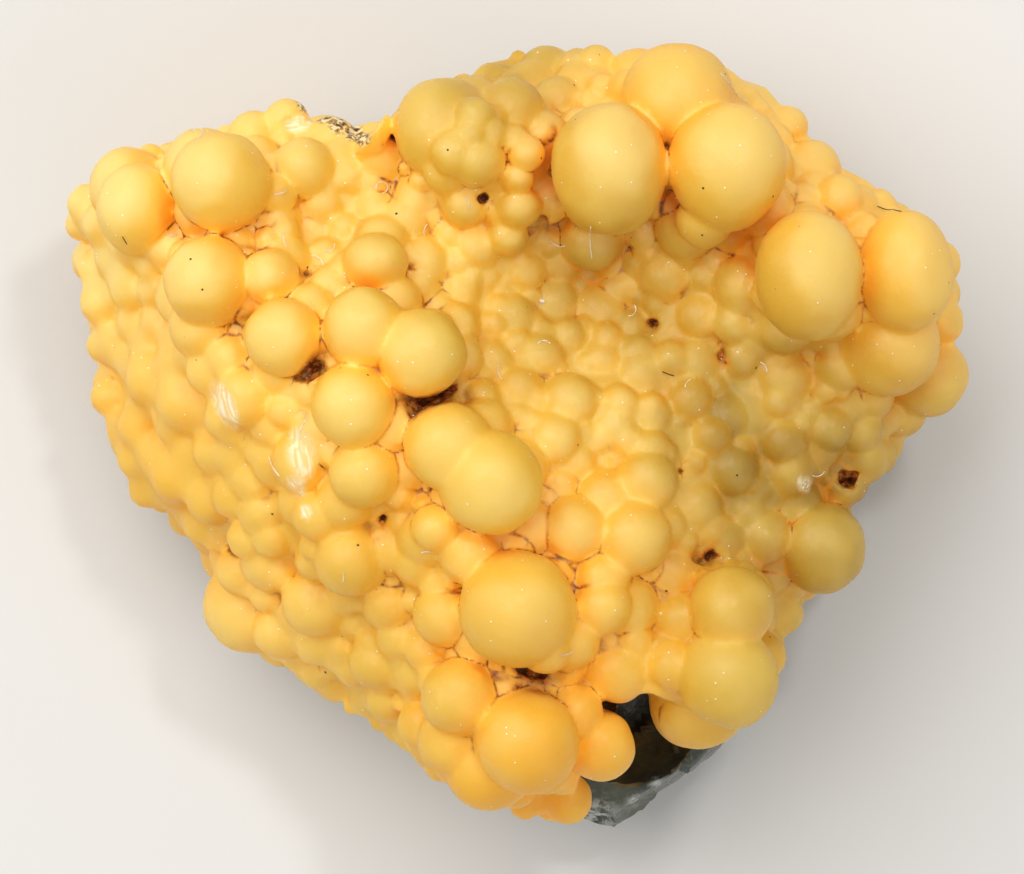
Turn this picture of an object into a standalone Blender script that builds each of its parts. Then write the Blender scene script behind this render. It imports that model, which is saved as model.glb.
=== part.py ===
"""Mimetite specimen: a botryoidal crust of yellow globes grown over a broken piece of vein quartz.

The specimen lies on the flat break of its quartz. X runs to the right and Y up in the face that is
displayed, and Z rises from the surface it rests on. Sizes below are in millimetres.
"""

import math
import random

import bmesh
import bpy
import numpy as np
from mathutils import Matrix, Vector

MM = 0.001

# The point under the specimen that the ground is measured from.
HEART = np.array((0.0, 0.0, -12.0))

# How far the ground lies below the middle of a globe, as shares of the radii given, so that small
# globes are sunk deeper than large ones, and how wide the ground is smoothed, in radians seen from
# the heart.
SUNK_RADII = (0.6, 1.0, 1.6, 2.4)
SUNK_SHARES = (-0.4, -0.2, 0.05, 0.35)
GROUND_BLUR = 0.045

# How thick the crust is between its globes, and the gap that it keeps to the rock under it.
CRUST_THICKNESS = 2.6
ROCK_GAP = 0.5
LEDGE_GAP = 0.3
HULL_SLANT = 1.6

# How finely the ground and the globes are divided, from 1, the size of globe that is divided finely,
# the grid on which the globes grow together, the faces that the crust is reduced to, and the steps
# taken to find the ground under a point of the plan.
GROUND_LEVEL = 5
FINE_LEVEL = 3
COARSE_LEVEL = 2
FINE_GLOBE_RADIUS = 2.3
FUSE_VOXEL = 0.28
CRUST_FACES = 7400
GROUND_STEPS = 12

# How far each globe is turned on from the one before, in radians, about Z and about X.
TURN_Z = 2.4
TURN_X = 1.7

# Globes that the displayed face hides, on the sides of the crust.
SIDE_SEED = 7
SIDE_TRIES = 6000
SIDE_RISE_LOW = 0.5
SIDE_RISE_HIGH = 0.93
SIDE_RADIUS_LOW = 1.1
SIDE_RADIUS_HIGH = 2.0
SIDE_TOP = 20.0
SIDE_BOTTOM = 4.0
SIDE_WIDTH = 5.0
SIDE_SPACING = 0.72
SIDE_SUNK_SHARE = 0.1

# Lumps that fill the ground between the globes: how steep the ground may be, radii from the first to
# the last and how much they vary, how close they lie, how far they keep from the middle of a globe
# and from a pit, and how far their middles are under the ground, as shares of a radius.
FILL_SEED = 11
FILL_TRIES = 9000
FILL_RISE_LOW = 0.5
FILL_RADIUS_FIRST = 1.5
FILL_RADIUS_LAST = 0.9
FILL_FADE = 0.6
FILL_SPREAD = 0.15
FILL_SPACING = 0.78
FILL_CLEAR = 0.95
FILL_PIT_MARGIN = 0.3
FILL_SUNK_HIGH = 0.55
FILL_SUNK_LOW = 0.2

# The crust ends along these planes: height at the middle, and rise for each mm along X and Y.
CRUST_EDGES = ((4.4, 0.05, -0.05), (1.2, 0.16, -0.16))

# Flat breaks of the rock: a point on the break, and the direction that the broken side faces.
BREAKS = (
    ((0.0, 0.0, 0.0), (0.0, 0.0, -1.0)),
    ((-14.0, 4.0, 1.5), (-0.72, 0.12, -0.68)),
    ((15.5, 3.0, 1.6), (0.66, 0.1, -0.74)),
    ((0.5, 12.5, 1.4), (0.08, 0.7, -0.71)),
    ((-8.0, -9.5, 1.3), (-0.5, -0.56, -0.66)),
    ((11.0, -8.5, 1.2), (0.55, -0.5, -0.67)),
    ((-13.0, 12.0, 3.0), (-0.6, 0.45, -0.66)),
    ((14.0, 12.0, 3.2), (0.5, 0.55, -0.67)),
)

# Corners of the piece of rock that stands out below the crust at the lower right.
LEDGE = (
    (1.2, -19.2, 4.2),
    (5.2, -19.7, 4.6),
    (8.6, -17.6, 4.4),
    (10.8, -15.2, 5.4),
    (12.4, -11.0, 4.4),
    (1.8, -18.6, 6.4),
    (5.2, -19.2, 7.0),
    (8.2, -17.1, 7.6),
    (10.4, -14.9, 7.4),
    (11.4, -11.5, 7.0),
    (2.6, -15.4, 0.6),
    (8.2, -13.8, 0.6),
    (9.6, -10.4, 0.6),
    (1.0, -10.0, 0.6),
    (4.4, -14.4, 10.8),
    (7.4, -13.6, 10.6),
    (2.0, -10.0, 11.5),
    (8.0, -8.0, 11.5),
)

# Corners in plan of the mouth where the crust is open down to that piece of rock.
MOUTH = (
    (4.4, -13.0),
    (6.8, -12.8),
    (9.4, -15.0),
    (12.0, -15.2),
    (13.0, -19.0),
    (7.0, -22.0),
    (4.2, -20.4),
    (4.6, -16.0),
)
MOUTH_FLOOR = 5.0
MOUTH_TOP = 30.0

# Pits between the globes, each as X, Y, half length, half width, and turn in degrees. The middle of
# a pit is raised over the ground, and a pit goes down from there by its depth.
PITS = (
    (7.0, 5.6, 0.9, 0.55, 20),
    (10.35, 4.1, 1.4, 0.5, 95),
    (8.4, -1.65, 1.3, 0.45, 95),
    (9.85, -6.05, 1.3, 0.6, -10),
    (1.1, 10.6, 1.3, 0.4, 40),
    (-0.75, 7.9, 1.0, 0.4, 60),
    (-1.5, 11.85, 0.6, 0.4, 0),
    (-3.7, 2.1, 1.8, 0.7, 28),
    (-10.2, 3.2, 1.1, 0.5, 25),
    (-6.5, -4.15, 0.8, 0.5, 20),
    (-10.25, 8.1, 0.7, 0.45, 0),
    (-13.2, 5.8, 0.5, 0.4, 0),
    (1.3, -11.9, 1.4, 0.6, -20),
    (3.6, -13.0, 1.6, 0.8, -25),
    (16.7, -2.2, 0.7, 0.6, 0),
    (-14.0, -5.65, 0.7, 0.5, 0),
)
PIT_RAISED = 1.2
PIT_DEPTH = 1.7

# The hollow of the rock in the mouth of the crust: its middle and half sizes.
HOLLOW = (6.2, -14.2, 9.6)
HOLLOW_SIZE = (3.1, 3.7, 4.2)

# The outline of the displayed face, and the rings that lead it down to the rest: a share of the
# outline and a height.
OUTLINE = (
    (22.9, 3.2),
    (20.6, 0.9),
    (19.3, -1.2),
    (17.0, -3.2),
    (17.6, -5.6),
    (15.0, -8.8),
    (13.5, -12.0),
    (10.3, -15.4),
    (7.5, -17.6),
    (3.0, -19.8),
    (0.0, -19.4),
    (-3.4, -17.6),
    (-6.6, -15.2),
    (-10.9, -12.6),
    (-15.5, -10.2),
    (-16.4, -6.5),
    (-18.6, -4.2),
    (-20.6, -2.6),
    (-21.8, 1.9),
    (-22.3, 6.8),
    (-23.0, 10.8),
    (-20.7, 14.4),
    (-16.3, 15.2),
    (-11.8, 16.8),
    (-8.2, 15.2),
    (-6.5, 15.6),
    (-5.4, 17.2),
    (-3.6, 18.0),
    (1.5, 20.0),
    (4.8, 19.6),
    (8.2, 19.7),
    (12.0, 17.6),
    (14.8, 15.0),
    (16.6, 12.6),
    (19.0, 12.0),
    (21.0, 10.6),
    (22.5, 9.4),
    (22.7, 6.5),
)
SKIRT_WEIGHT = 2.5
SKIRT = ((0.9, 6.5), (0.88, 3.5), (0.84, 0.5), (0.76, -3.0), (0.7, -7.0), (0.7, -12.0))

# Colour and roughness of each finish.
QUARTZ = (0.5, 0.48, 0.44)
QUARTZ_ROUGHNESS = 0.4
YELLOW = (0.93, 0.72, 0.33)
YELLOW_ROUGHNESS = 0.35

# Globes that show on the displayed face, each as X, Y, height of its top, and radius. A fifth value
# is how many times longer than wide it is along Y.
CREST_GLOBES = (
    (-15.3, 7.75, 21.5, 2.25),
    (-12.2, 7.95, 21.0, 1.45),
    (-15.6, 5.6, 19.5, 1.75),
    (-11.55, 5.0, 23.0, 1.95),
    (-14.25, 3.95, 19.8, 1.2),
    (-7.5, 5.45, 24.0, 2.05),
    (-4.6, 4.15, 24.5, 2.2),
    (-8.05, 1.55, 24.3, 2.1),
    (-7.5, -1.8, 23.0, 1.75),
    (-5.5, -1.5, 21.8, 1.3),
    (-3.25, -0.5, 24.6, 2.25),
    (-1.2, -2.25, 25.2, 2.6),
    (-4.0, -4.55, 22.5, 1.2),
    (-2.25, -5.9, 22.3, 1.5),
    (0.1, -8.5, 24.2, 2.9),
    (1.5, -10.4, 22.0, 1.4),
    (-2.75, -13.0, 21.3, 1.95),
    (-3.1, -15.2, 19.5, 1.8),
    (0.6, -15.2, 22.3, 2.65),
    (-1.25, -16.4, 19.5, 2.35),
    (4.25, -15.45, 18.8, 1.8),
    (3.0, -13.75, 19.5, 1.4),
    (2.65, -18.3, 14.0, 1.3),
    (0.5, -18.6, 13.0, 0.8),
    (-0.7, -12.05, 20.0, 0.6),
)
UPPER_LEFT_GLOBES = (
    (-14.7, 12.75, 21.5, 2.5),
    (-19.0, 11.45, 17.8, 2.05, 1.12),
    (-19.5, 12.6, 16.0, 2.0),
    (-22.1, 10.8, 10.5, 0.9),
    (-21.7, 11.8, 12.0, 1.1),
    (-15.6, 13.45, 18.0, 2.1),
    (-10.6, 13.45, 18.8, 1.6),
    (-8.25, 13.05, 18.0, 1.0),
    (-8.45, 11.85, 17.6, 0.85),
    (-13.15, 15.1, 16.0, 1.35),
    (-11.5, 15.85, 16.0, 1.2),
    (-9.25, 14.85, 16.5, 1.3),
    (-10.1, 10.5, 17.8, 0.7),
    (-9.15, 10.25, 17.8, 0.8),
    (-10.3, 9.2, 18.4, 0.8),
    (-11.5, 10.2, 19.0, 0.75),
    (-12.35, 9.85, 19.2, 0.6),
)
LEFT_FLANK_GLOBES = (
    (-19.65, 8.25, 14.0, 0.8),
    (-18.2, 8.7, 15.5, 1.0),
    (-20.9, 6.85, 11.5, 1.35),
    (-21.65, 8.6, 10.5, 0.8),
    (-19.2, 5.85, 13.0, 1.1),
    (-18.0, 5.85, 14.5, 1.0),
    (-17.0, 3.6, 15.8, 1.3),
    (-19.35, 3.65, 12.5, 1.0),
    (-20.95, 4.6, 10.5, 1.0),
    (-20.7, 2.1, 10.0, 1.1),
    (-16.6, 1.85, 16.3, 1.65),
    (-19.1, 0.6, 12.3, 1.25),
    (-19.2, -1.05, 11.0, 1.2),
    (-18.75, -2.65, 10.0, 1.1),
    (-17.2, -2.05, 13.8, 1.35),
    (-15.05, -0.75, 16.5, 1.3),
    (-15.3, -3.1, 14.8, 1.4),
    (-14.55, -4.65, 12.8, 1.0),
    (-16.25, -3.75, 11.5, 0.75),
    (-13.05, -2.3, 17.8, 1.15),
    (-12.7, -0.65, 18.8, 0.95),
    (-13.45, 2.0, 20.6, 1.55),
    (-11.4, 1.35, 20.8, 1.0),
    (-10.8, -1.25, 21.0, 1.35, 1.15),
    (-9.9, -3.9, 20.5, 1.3),
    (-12.15, -4.95, 17.3, 1.15),
    (-11.55, -3.4, 18.0, 0.75),
    (-12.85, -6.75, 14.5, 0.8),
    (-11.85, -6.8, 15.8, 0.8),
)
LOWER_LEFT_GLOBES = (
    (-13.45, -8.6, 12.0, 2.45),
    (-11.8, -9.7, 13.3, 1.55),
    (-9.9, -8.3, 16.6, 1.85),
    (-8.2, -6.1, 20.3, 1.9),
    (-6.35, -8.35, 18.7, 1.35),
    (-5.55, -4.15, 20.5, 0.85),
    (-4.85, -6.15, 20.5, 1.3),
    (-3.55, -8.9, 20.8, 1.55),
    (-9.95, -11.7, 11.5, 1.15),
    (-8.15, -11.55, 14.3, 1.05),
    (-7.05, -10.25, 16.5, 1.05),
    (-6.55, -12.2, 15.8, 0.75),
    (-5.5, -11.0, 17.3, 0.95),
    (-4.45, -10.65, 18.8, 1.2),
    (-4.85, -12.75, 16.5, 0.95),
    (-7.45, -13.25, 12.0, 1.0),
    (-6.7, -14.25, 11.5, 0.75),
    (-5.15, -15.0, 13.8, 1.0),
    (-3.75, -16.55, 14.0, 0.9),
)
UPPER_RIGHT_GLOBES = (
    (4.7, 13.35, 24.0, 2.9, 1.16),
    (10.55, 13.45, 23.6, 2.95, 1.08),
    (9.45, 10.85, 21.3, 1.45),
    (8.15, 16.8, 21.5, 2.9),
    (14.6, 8.0, 23.6, 2.75, 1.16),
    (19.5, 8.25, 21.5, 2.4, 1.28),
    (18.75, 4.6, 18.8, 2.6),
    (20.85, 3.15, 14.5, 2.15),
    (19.65, 1.25, 12.5, 1.25),
    (21.25, 8.75, 16.0, 1.2),
    (21.5, 6.85, 14.5, 0.85),
    (18.3, 11.6, 16.5, 0.9),
    (16.2, 11.9, 18.3, 1.25),
    (14.45, 11.85, 18.3, 0.9),
    (14.95, 13.55, 16.6, 1.45),
    (13.7, 15.65, 15.0, 1.1),
    (13.0, 14.85, 16.2, 1.0),
    (11.65, 17.0, 15.5, 0.75),
    (12.25, 16.35, 15.6, 0.7),
)
TOP_GLOBES = (
    (-3.55, 15.45, 21.0, 2.55),
    (-3.05, 14.1, 22.0, 1.2),
    (-2.0, 15.95, 21.6, 1.0),
    (-1.2, 15.1, 21.3, 0.9),
    (-2.25, 15.0, 21.8, 0.9),
    (-0.05, 14.75, 20.9, 0.85),
    (0.6, 14.1, 21.3, 0.9),
    (0.15, 12.95, 20.8, 0.85),
    (0.2, 11.45, 20.3, 1.1),
    (-0.35, 10.05, 19.3, 1.05),
    (-1.95, 9.55, 18.8, 1.3),
    (-1.55, 8.1, 18.0, 1.0),
    (-3.0, 8.75, 18.6, 1.0),
    (-3.25, 10.1, 18.6, 0.9),
    (-5.5, 10.75, 18.8, 1.3),
    (-7.0, 11.35, 18.2, 1.1),
    (-4.25, 11.1, 18.3, 0.9),
    (-6.95, 8.75, 21.5, 1.65, 0.85),
    (-9.15, 7.55, 20.3, 1.1),
    (-4.95, 7.5, 19.5, 1.2),
    (-3.75, 6.35, 19.3, 0.9),
    (1.65, 18.3, 14.3, 1.5),
    (-0.15, 17.5, 15.5, 0.95),
    (-1.1, 17.85, 14.5, 1.1),
    (2.15, 16.8, 17.0, 1.35),
    (1.0, 16.35, 17.5, 1.1),
    (4.1, 18.9, 15.0, 0.92),
    (4.4, 17.45, 16.8, 0.85),
    (3.0, 17.95, 15.8, 1.0),
    (3.25, 15.45, 18.5, 1.1),
)
BASIN_GLOBES = (
    (-1.7, 1.85, 20.8, 1.05),
    (-0.05, 1.05, 20.3, 0.7),
    (-2.4, 6.05, 19.0, 0.65),
    (-0.85, 6.35, 18.3, 0.8),
    (0.75, 5.75, 17.8, 0.75),
    (-1.15, 3.75, 19.5, 1.1),
    (0.05, 4.6, 18.8, 0.9),
    (2.6, 4.95, 17.8, 1.05),
    (4.6, 4.95, 17.5, 0.85),
    (6.1, 4.15, 17.6, 1.05),
    (2.05, 3.45, 18.3, 0.6),
    (0.45, 3.35, 19.0, 0.7),
    (5.2, 1.65, 19.2, 1.0),
    (1.85, 1.85, 19.3, 0.7),
    (1.95, -0.15, 20.8, 1.4),
    (4.1, -0.15, 19.3, 0.8),
    (5.6, -0.15, 19.3, 0.85),
    (4.0, -1.7, 19.0, 0.6),
    (2.15, -2.35, 20.3, 0.9),
    (2.9, -4.55, 21.5, 1.65),
    (5.9, -5.0, 21.3, 1.9),
    (6.55, -2.25, 20.3, 1.6),
    (7.8, 3.85, 18.0, 1.0),
    (12.0, 4.8, 17.8, 1.25),
    (9.8, 0.05, 18.2, 1.05),
    (8.75, 1.85, 18.3, 1.2),
    (9.05, 4.9, 17.0, 0.6),
    (13.75, 1.6, 17.0, 0.75),
    (14.45, 0.85, 16.8, 0.75),
    (15.5, 2.3, 16.8, 0.65),
    (17.45, 0.3, 15.2, 1.2),
    (18.35, -0.95, 13.5, 1.0),
    (11.75, -2.15, 16.8, 0.65),
    (12.85, -3.0, 15.8, 0.75),
    (15.15, -2.75, 14.0, 0.65),
    (15.25, -1.55, 15.3, 0.65),
    (9.55, -4.45, 17.5, 1.2),
    (8.4, -5.2, 18.3, 0.75),
    (12.45, -5.0, 16.5, 1.45),
    (15.55, -5.6, 16.3, 2.1, 1.12),
    (12.7, -6.95, 14.5, 1.2),
    (13.45, -8.9, 13.0, 1.2),
)
LOWER_RIGHT_GLOBES = (
    (4.35, -8.4, 21.3, 1.45),
    (10.85, -8.55, 20.8, 2.15),
    (10.65, -12.0, 20.8, 2.55),
    (7.85, -11.4, 19.3, 1.35),
    (8.25, -9.05, 18.8, 1.35),
    (7.05, -7.85, 18.2, 1.3),
    (5.1, -11.55, 19.2, 1.75),
    (5.95, -10.15, 19.2, 0.95),
    (2.55, -11.35, 19.5, 1.0),
    (9.2, -13.3, 16.5, 2.5),
)
RECESS_GLOBES = (
    (2.25, 10.35, 16.2, 1.1),
    (3.1, 9.1, 15.8, 1.05),
    (1.25, 7.7, 16.2, 0.95),
    (4.85, 8.75, 16.2, 0.95),
    (3.05, 7.35, 15.8, 1.0),
    (4.5, 6.55, 15.3, 0.75),
    (6.45, 7.05, 16.3, 0.65),
    (1.5, 9.35, 16.0, 0.8),
    (6.25, 8.75, 16.7, 0.8),
    (7.5, 9.6, 17.5, 0.8),
    (8.75, 8.75, 17.3, 0.7),
    (10.0, 8.75, 17.8, 0.9),
    (7.85, 7.6, 16.7, 0.8),
    (9.4, 7.1, 17.2, 0.9),
    (11.0, 6.85, 17.8, 0.9),
)
SHOWN_GLOBES = (
    CREST_GLOBES
    + UPPER_LEFT_GLOBES
    + LEFT_FLANK_GLOBES
    + LOWER_LEFT_GLOBES
    + UPPER_RIGHT_GLOBES
    + TOP_GLOBES
    + BASIN_GLOBES
    + LOWER_RIGHT_GLOBES
    + RECESS_GLOBES
)


def globe_middle(globe):
    """The centre of a listed globe."""
    x, y, top, radius = globe[:4]
    return np.array((x, y, top - radius))


def ground_points():
    """Points that the ground between the globes passes through."""
    points = []
    for globe in SHOWN_GLOBES:
        middle = globe_middle(globe)
        outward = (middle - HEART) / np.linalg.norm(middle - HEART)
        down = globe[3] * np.interp(globe[3], SUNK_RADII, SUNK_SHARES)
        points.append((*(middle - outward * down), globe[3]))
    for share, height in SKIRT:
        points += [(x * share, y * share, height, SKIRT_WEIGHT) for x, y in OUTLINE]
    return np.array(points)


def ground_reach(directions):
    """How far the ground is from the heart along each direction."""
    points = ground_points()
    arms = points[:, :3] - HEART
    lengths = np.linalg.norm(arms, axis=1)
    closeness = directions @ (arms / lengths[:, None]).T
    power = (closeness - 1.0) * 2.0 / GROUND_BLUR**2 + np.log(points[:, 3])
    weights = np.exp(power - power.max(axis=1, keepdims=True))
    return (weights * lengths).sum(axis=1) / weights.sum(axis=1)


def ground_shape(inward):
    """A closed shape that lies the given distance under the ground."""
    shape = bmesh.new()
    bmesh.ops.create_icosphere(shape, subdivisions=GROUND_LEVEL, radius=1.0)
    directions = np.array([vertex.co[:] for vertex in shape.verts])
    directions /= np.linalg.norm(directions, axis=1)[:, None]
    reach = ground_reach(directions) - inward
    for vertex, direction, length in zip(shape.verts, directions, reach):
        vertex.co = Vector(HEART + direction * length)
    return shape


def cut_flat(shape, point, facing):
    """Takes away the side of a shape that lies beyond a plane, and closes the cut."""
    everything = shape.verts[:] + shape.edges[:] + shape.faces[:]
    cut = bmesh.ops.bisect_plane(
        shape, geom=everything, plane_co=point, plane_no=facing, clear_outer=True, dist=1e-5
    )
    rim = [item for item in cut["geom_cut"] if isinstance(item, bmesh.types.BMEdge)]
    bmesh.ops.holes_fill(shape, edges=rim)


def cut_breaks(shape, outward):
    """Cuts the flat breaks of the rock, each moved out by the given distance."""
    for point, facing in BREAKS:
        facing = Vector(facing).normalized()
        cut_flat(shape, Vector(point) + facing * outward, facing)


def hull_shape(corners):
    """The convex shape around some corners."""
    shape = bmesh.new()
    for corner in corners:
        shape.verts.new(corner)
    hull = bmesh.ops.convex_hull(shape, input=shape.verts[:])
    inside = [item for item in hull["geom_interior"] if isinstance(item, bmesh.types.BMVert)]
    bmesh.ops.delete(shape, geom=inside, context="VERTS")
    bmesh.ops.recalc_face_normals(shape, faces=shape.faces[:])
    return shape


def ledge_shape(outward):
    """The piece of rock below the crust, with each corner moved out by the given distance."""
    corners = [Vector(corner) for corner in LEDGE]
    middle = sum(corners, Vector()) / len(corners)
    return hull_shape([at + (at - middle).normalized() * outward * HULL_SLANT for at in corners])


def mouth_shape():
    """The space over the ledge that the ground of the crust leaves open."""
    return hull_shape([(x, y, z) for x, y in MOUTH for z in (MOUTH_FLOOR, MOUTH_TOP)])


def hollow_shape():
    """The hollow in the rock below the mouth."""
    shape = bmesh.new()
    place = Matrix.Translation(HOLLOW) @ Matrix.Diagonal((*HOLLOW_SIZE, 1.0))
    bmesh.ops.create_icosphere(shape, subdivisions=FINE_LEVEL, radius=1.0, matrix=place)
    return shape


def room_to_outline(x, y):
    """How far a point of the plan is inside the outline of the displayed face."""
    turns = np.array([math.atan2(py, px) for px, py in OUTLINE])
    reach = np.array([math.hypot(px, py) for px, py in OUTLINE])
    order = np.argsort(turns)
    there = np.interp(math.atan2(y, x), turns[order], reach[order], period=math.tau)
    return there - math.hypot(x, y)


def side_globes():
    """Globes over the sides of the crust, placed at random where no other globe is."""
    rng = random.Random(SIDE_SEED)
    middles = [globe_middle(globe) for globe in SHOWN_GLOBES]
    radii = [globe[3] for globe in SHOWN_GLOBES]
    found = []
    turns = [rng.uniform(0, math.tau) for _ in range(SIDE_TRIES)]
    rises = [rng.uniform(SIDE_RISE_LOW, SIDE_RISE_HIGH) for _ in range(SIDE_TRIES)]
    sizes = [rng.uniform(SIDE_RADIUS_LOW, SIDE_RADIUS_HIGH) for _ in range(SIDE_TRIES)]
    flat = [math.sqrt(1 - rise * rise) for rise in rises]
    directions = np.array(
        [(math.cos(t) * f, math.sin(t) * f, z) for t, f, z in zip(turns, flat, rises)]
    )
    reach = ground_reach(directions)
    for direction, length, size in zip(directions, reach, sizes):
        middle = HEART + direction * (length - size * SIDE_SUNK_SHARE)
        room = room_to_outline(*middle[:2])
        if not SIDE_BOTTOM < middle[2] < SIDE_TOP or not size < room < SIDE_WIDTH:
            continue
        away = np.linalg.norm(np.array(middles) - middle, axis=1)
        if (away < (np.array(radii) + size) * SIDE_SPACING).any():
            continue
        middles.append(middle)
        radii.append(size)
        found.append((middle, size, 1.0))
    return found


def over_a_pit(x, y, margin):
    """Whether a point of the plan is over a pit, or this near to it."""
    for pit_x, pit_y, half_length, half_width, turn in PITS:
        along = Vector((x - pit_x, y - pit_y)) @ Matrix.Rotation(math.radians(turn), 2)
        if math.hypot(along.x / (half_length + margin), along.y / (half_width + margin)) < 1.0:
            return True
    return False


def ground_at(x, y):
    """The point of the ground that shows at a point of the plan."""
    height = SIDE_TOP
    for _ in range(GROUND_STEPS):
        arm = np.array((x, y, height)) - HEART
        length = np.linalg.norm(arm)
        height += ground_reach(arm[None, :] / length)[0] - length
    return np.array((x, y, height))


def pit_shape(x, y, half_length, half_width, turn):
    """The space of one pit, which narrows down into the ground."""
    shape = bmesh.new()
    place = Matrix.Translation(ground_at(x, y) + np.array((0.0, 0.0, PIT_RAISED)))
    size = Matrix.Diagonal((half_length, half_width, PIT_RAISED + PIT_DEPTH, 1.0))
    turned = Matrix.Rotation(math.radians(turn), 4, "Z")
    bmesh.ops.create_icosphere(
        shape, subdivisions=COARSE_LEVEL, radius=1.0, matrix=place @ turned @ size
    )
    return shape


def ground_spots(rng, number):
    """Directions at random over the crust, and how far the ground is along each."""
    turns = np.array([rng.uniform(0, math.tau) for _ in range(number)])
    rises = np.array([math.sqrt(rng.uniform(FILL_RISE_LOW**2, 1.0)) for _ in range(number)])
    flat = np.sqrt(1 - rises**2)
    directions = np.stack([np.cos(turns) * flat, np.sin(turns) * flat, rises], axis=1)
    return directions, ground_reach(directions)


def fill_globes(globes):
    """Lumps over what the given globes leave bare, the larger ones first."""
    rng = random.Random(FILL_SEED)
    large = np.array([(*globe[0], globe[1]) for globe in globes])
    here = np.zeros((FILL_TRIES, 4))
    known = 0
    for number, (direction, length) in enumerate(zip(*ground_spots(rng, FILL_TRIES))):
        share = (number / FILL_TRIES) ** FILL_FADE
        size = FILL_RADIUS_FIRST + (FILL_RADIUS_LAST - FILL_RADIUS_FIRST) * share
        size *= rng.uniform(1.0 - FILL_SPREAD, 1.0 + FILL_SPREAD)
        middle = HEART + direction * (length - size * rng.uniform(FILL_SUNK_LOW, FILL_SUNK_HIGH))
        if middle[2] < SIDE_BOTTOM or room_to_outline(*middle[:2]) < size:
            continue
        if over_a_pit(*middle[:2], FILL_PIT_MARGIN * size):
            continue
        if (np.linalg.norm(large[:, :3] - middle, axis=1) < large[:, 3] * FILL_CLEAR).any():
            continue
        away = np.linalg.norm(here[:known, :3] - middle, axis=1)
        if (away < (here[:known, 3] + size) * FILL_SPACING).any():
            continue
        here[known] = (*middle, size)
        known += 1
    return [(spot[:3], spot[3], 1.0) for spot in here[:known]]


def shown_globes():
    """The listed globes, as centre, radius and stretch along Y."""
    return [
        (globe_middle(globe), globe[3], globe[4] if len(globe) > 4 else 1.0)
        for globe in SHOWN_GLOBES
    ]


def globe_shape(middle, radius, stretch, number):
    """One globe, turned its own way so that no two have faces in line."""
    shape = bmesh.new()
    level = FINE_LEVEL if radius >= FINE_GLOBE_RADIUS else COARSE_LEVEL
    turn = Matrix.Rotation(number * TURN_Z, 4, "Z") @ Matrix.Rotation(number * TURN_X, 4, "X")
    size = Matrix.Diagonal((radius, radius * stretch, radius, 1.0))
    bmesh.ops.create_icosphere(
        shape, subdivisions=level, radius=1.0, matrix=Matrix.Translation(middle) @ size @ turn
    )
    return shape


def globe_things(globes, first):
    """Objects of some globes, numbered from the first."""
    return [
        link(f"globe_{number}", globe_shape(*globe, number))
        for number, globe in enumerate(globes, first)
    ]


def link(name, shape):
    """An object made of a shape, in metres and in its place."""
    bmesh.ops.scale(shape, vec=(MM, MM, MM), verts=shape.verts[:])
    bmesh.ops.triangulate(shape, faces=shape.faces[:])
    mesh = bpy.data.meshes.new(name)
    shape.to_mesh(mesh)
    shape.free()
    thing = bpy.data.objects.new(name, mesh)
    bpy.context.scene.collection.objects.link(thing)
    return thing


def combine(thing, operation, others):
    """Joins others to a thing, or cuts them out of it, and takes them out of the scene."""
    group = bpy.data.collections.new("operands")
    bpy.context.scene.collection.children.link(group)
    for other in others:
        group.objects.link(other)
    step = thing.modifiers.new(operation.lower(), "BOOLEAN")
    step.operation = operation
    step.operand_type = "COLLECTION"
    step.collection = group
    step.solver = "EXACT"
    apply_step(thing)
    for other in others:
        bpy.data.objects.remove(other)
    bpy.data.collections.remove(group)


def apply_step(thing):
    """Makes the result of a thing's one modifier its mesh."""
    graph = bpy.context.evaluated_depsgraph_get()
    mesh = bpy.data.meshes.new_from_object(thing.evaluated_get(graph))
    thing.modifiers.clear()
    thing.data = mesh


def fuse(thing, voxel):
    """Grows the globes of a thing together where they meet, by remeshing it evenly."""
    step = thing.modifiers.new("fuse", "REMESH")
    step.mode = "VOXEL"
    step.voxel_size = voxel * MM
    apply_step(thing)


def simplify(thing, faces):
    """Reduces a thing to about the given number of faces, where they matter least."""
    step = thing.modifiers.new("simplify", "DECIMATE")
    step.ratio = min(1.0, faces / sum(len(face.vertices) - 2 for face in thing.data.polygons))
    step.use_collapse_triangulate = True
    apply_step(thing)


def keep_outer_skin(thing):
    """Keeps the largest closed skin of a thing, so that no bubble is left inside."""
    shape = bmesh.new()
    shape.from_mesh(thing.data)
    left = set(shape.verts)
    skins = []
    while left:
        start = left.pop()
        skin, edge = {start}, [start]
        while edge:
            for link_edge in edge.pop().link_edges:
                for vertex in link_edge.verts:
                    if vertex in left:
                        left.remove(vertex)
                        skin.add(vertex)
                        edge.append(vertex)
        skins.append(skin)
    skins.sort(key=len)
    for skin in skins[:-1]:
        bmesh.ops.delete(shape, geom=list(skin), context="VERTS")
    shape.to_mesh(thing.data)
    shape.free()


def material(name, colour, roughness):
    made = bpy.data.materials.new(name)
    made.use_nodes = True
    shader = made.node_tree.nodes["Principled BSDF"]
    shader.inputs["Base Color"].default_value = (*colour, 1.0)
    shader.inputs["Roughness"].default_value = roughness
    return made


def make_rock():
    """The broken piece of quartz that the crust grew on."""
    shape = ground_shape(CRUST_THICKNESS)
    cut_breaks(shape, 0.0)
    rock = link("matrix_rock", shape)
    combine(rock, "UNION", [link("ledge", ledge_shape(0.0))])
    combine(rock, "DIFFERENCE", [link("hollow", hollow_shape())])
    keep_outer_skin(rock)
    rock.data.materials.clear()
    rock.data.materials.append(material("quartz", QUARTZ, QUARTZ_ROUGHNESS))
    return rock


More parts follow.
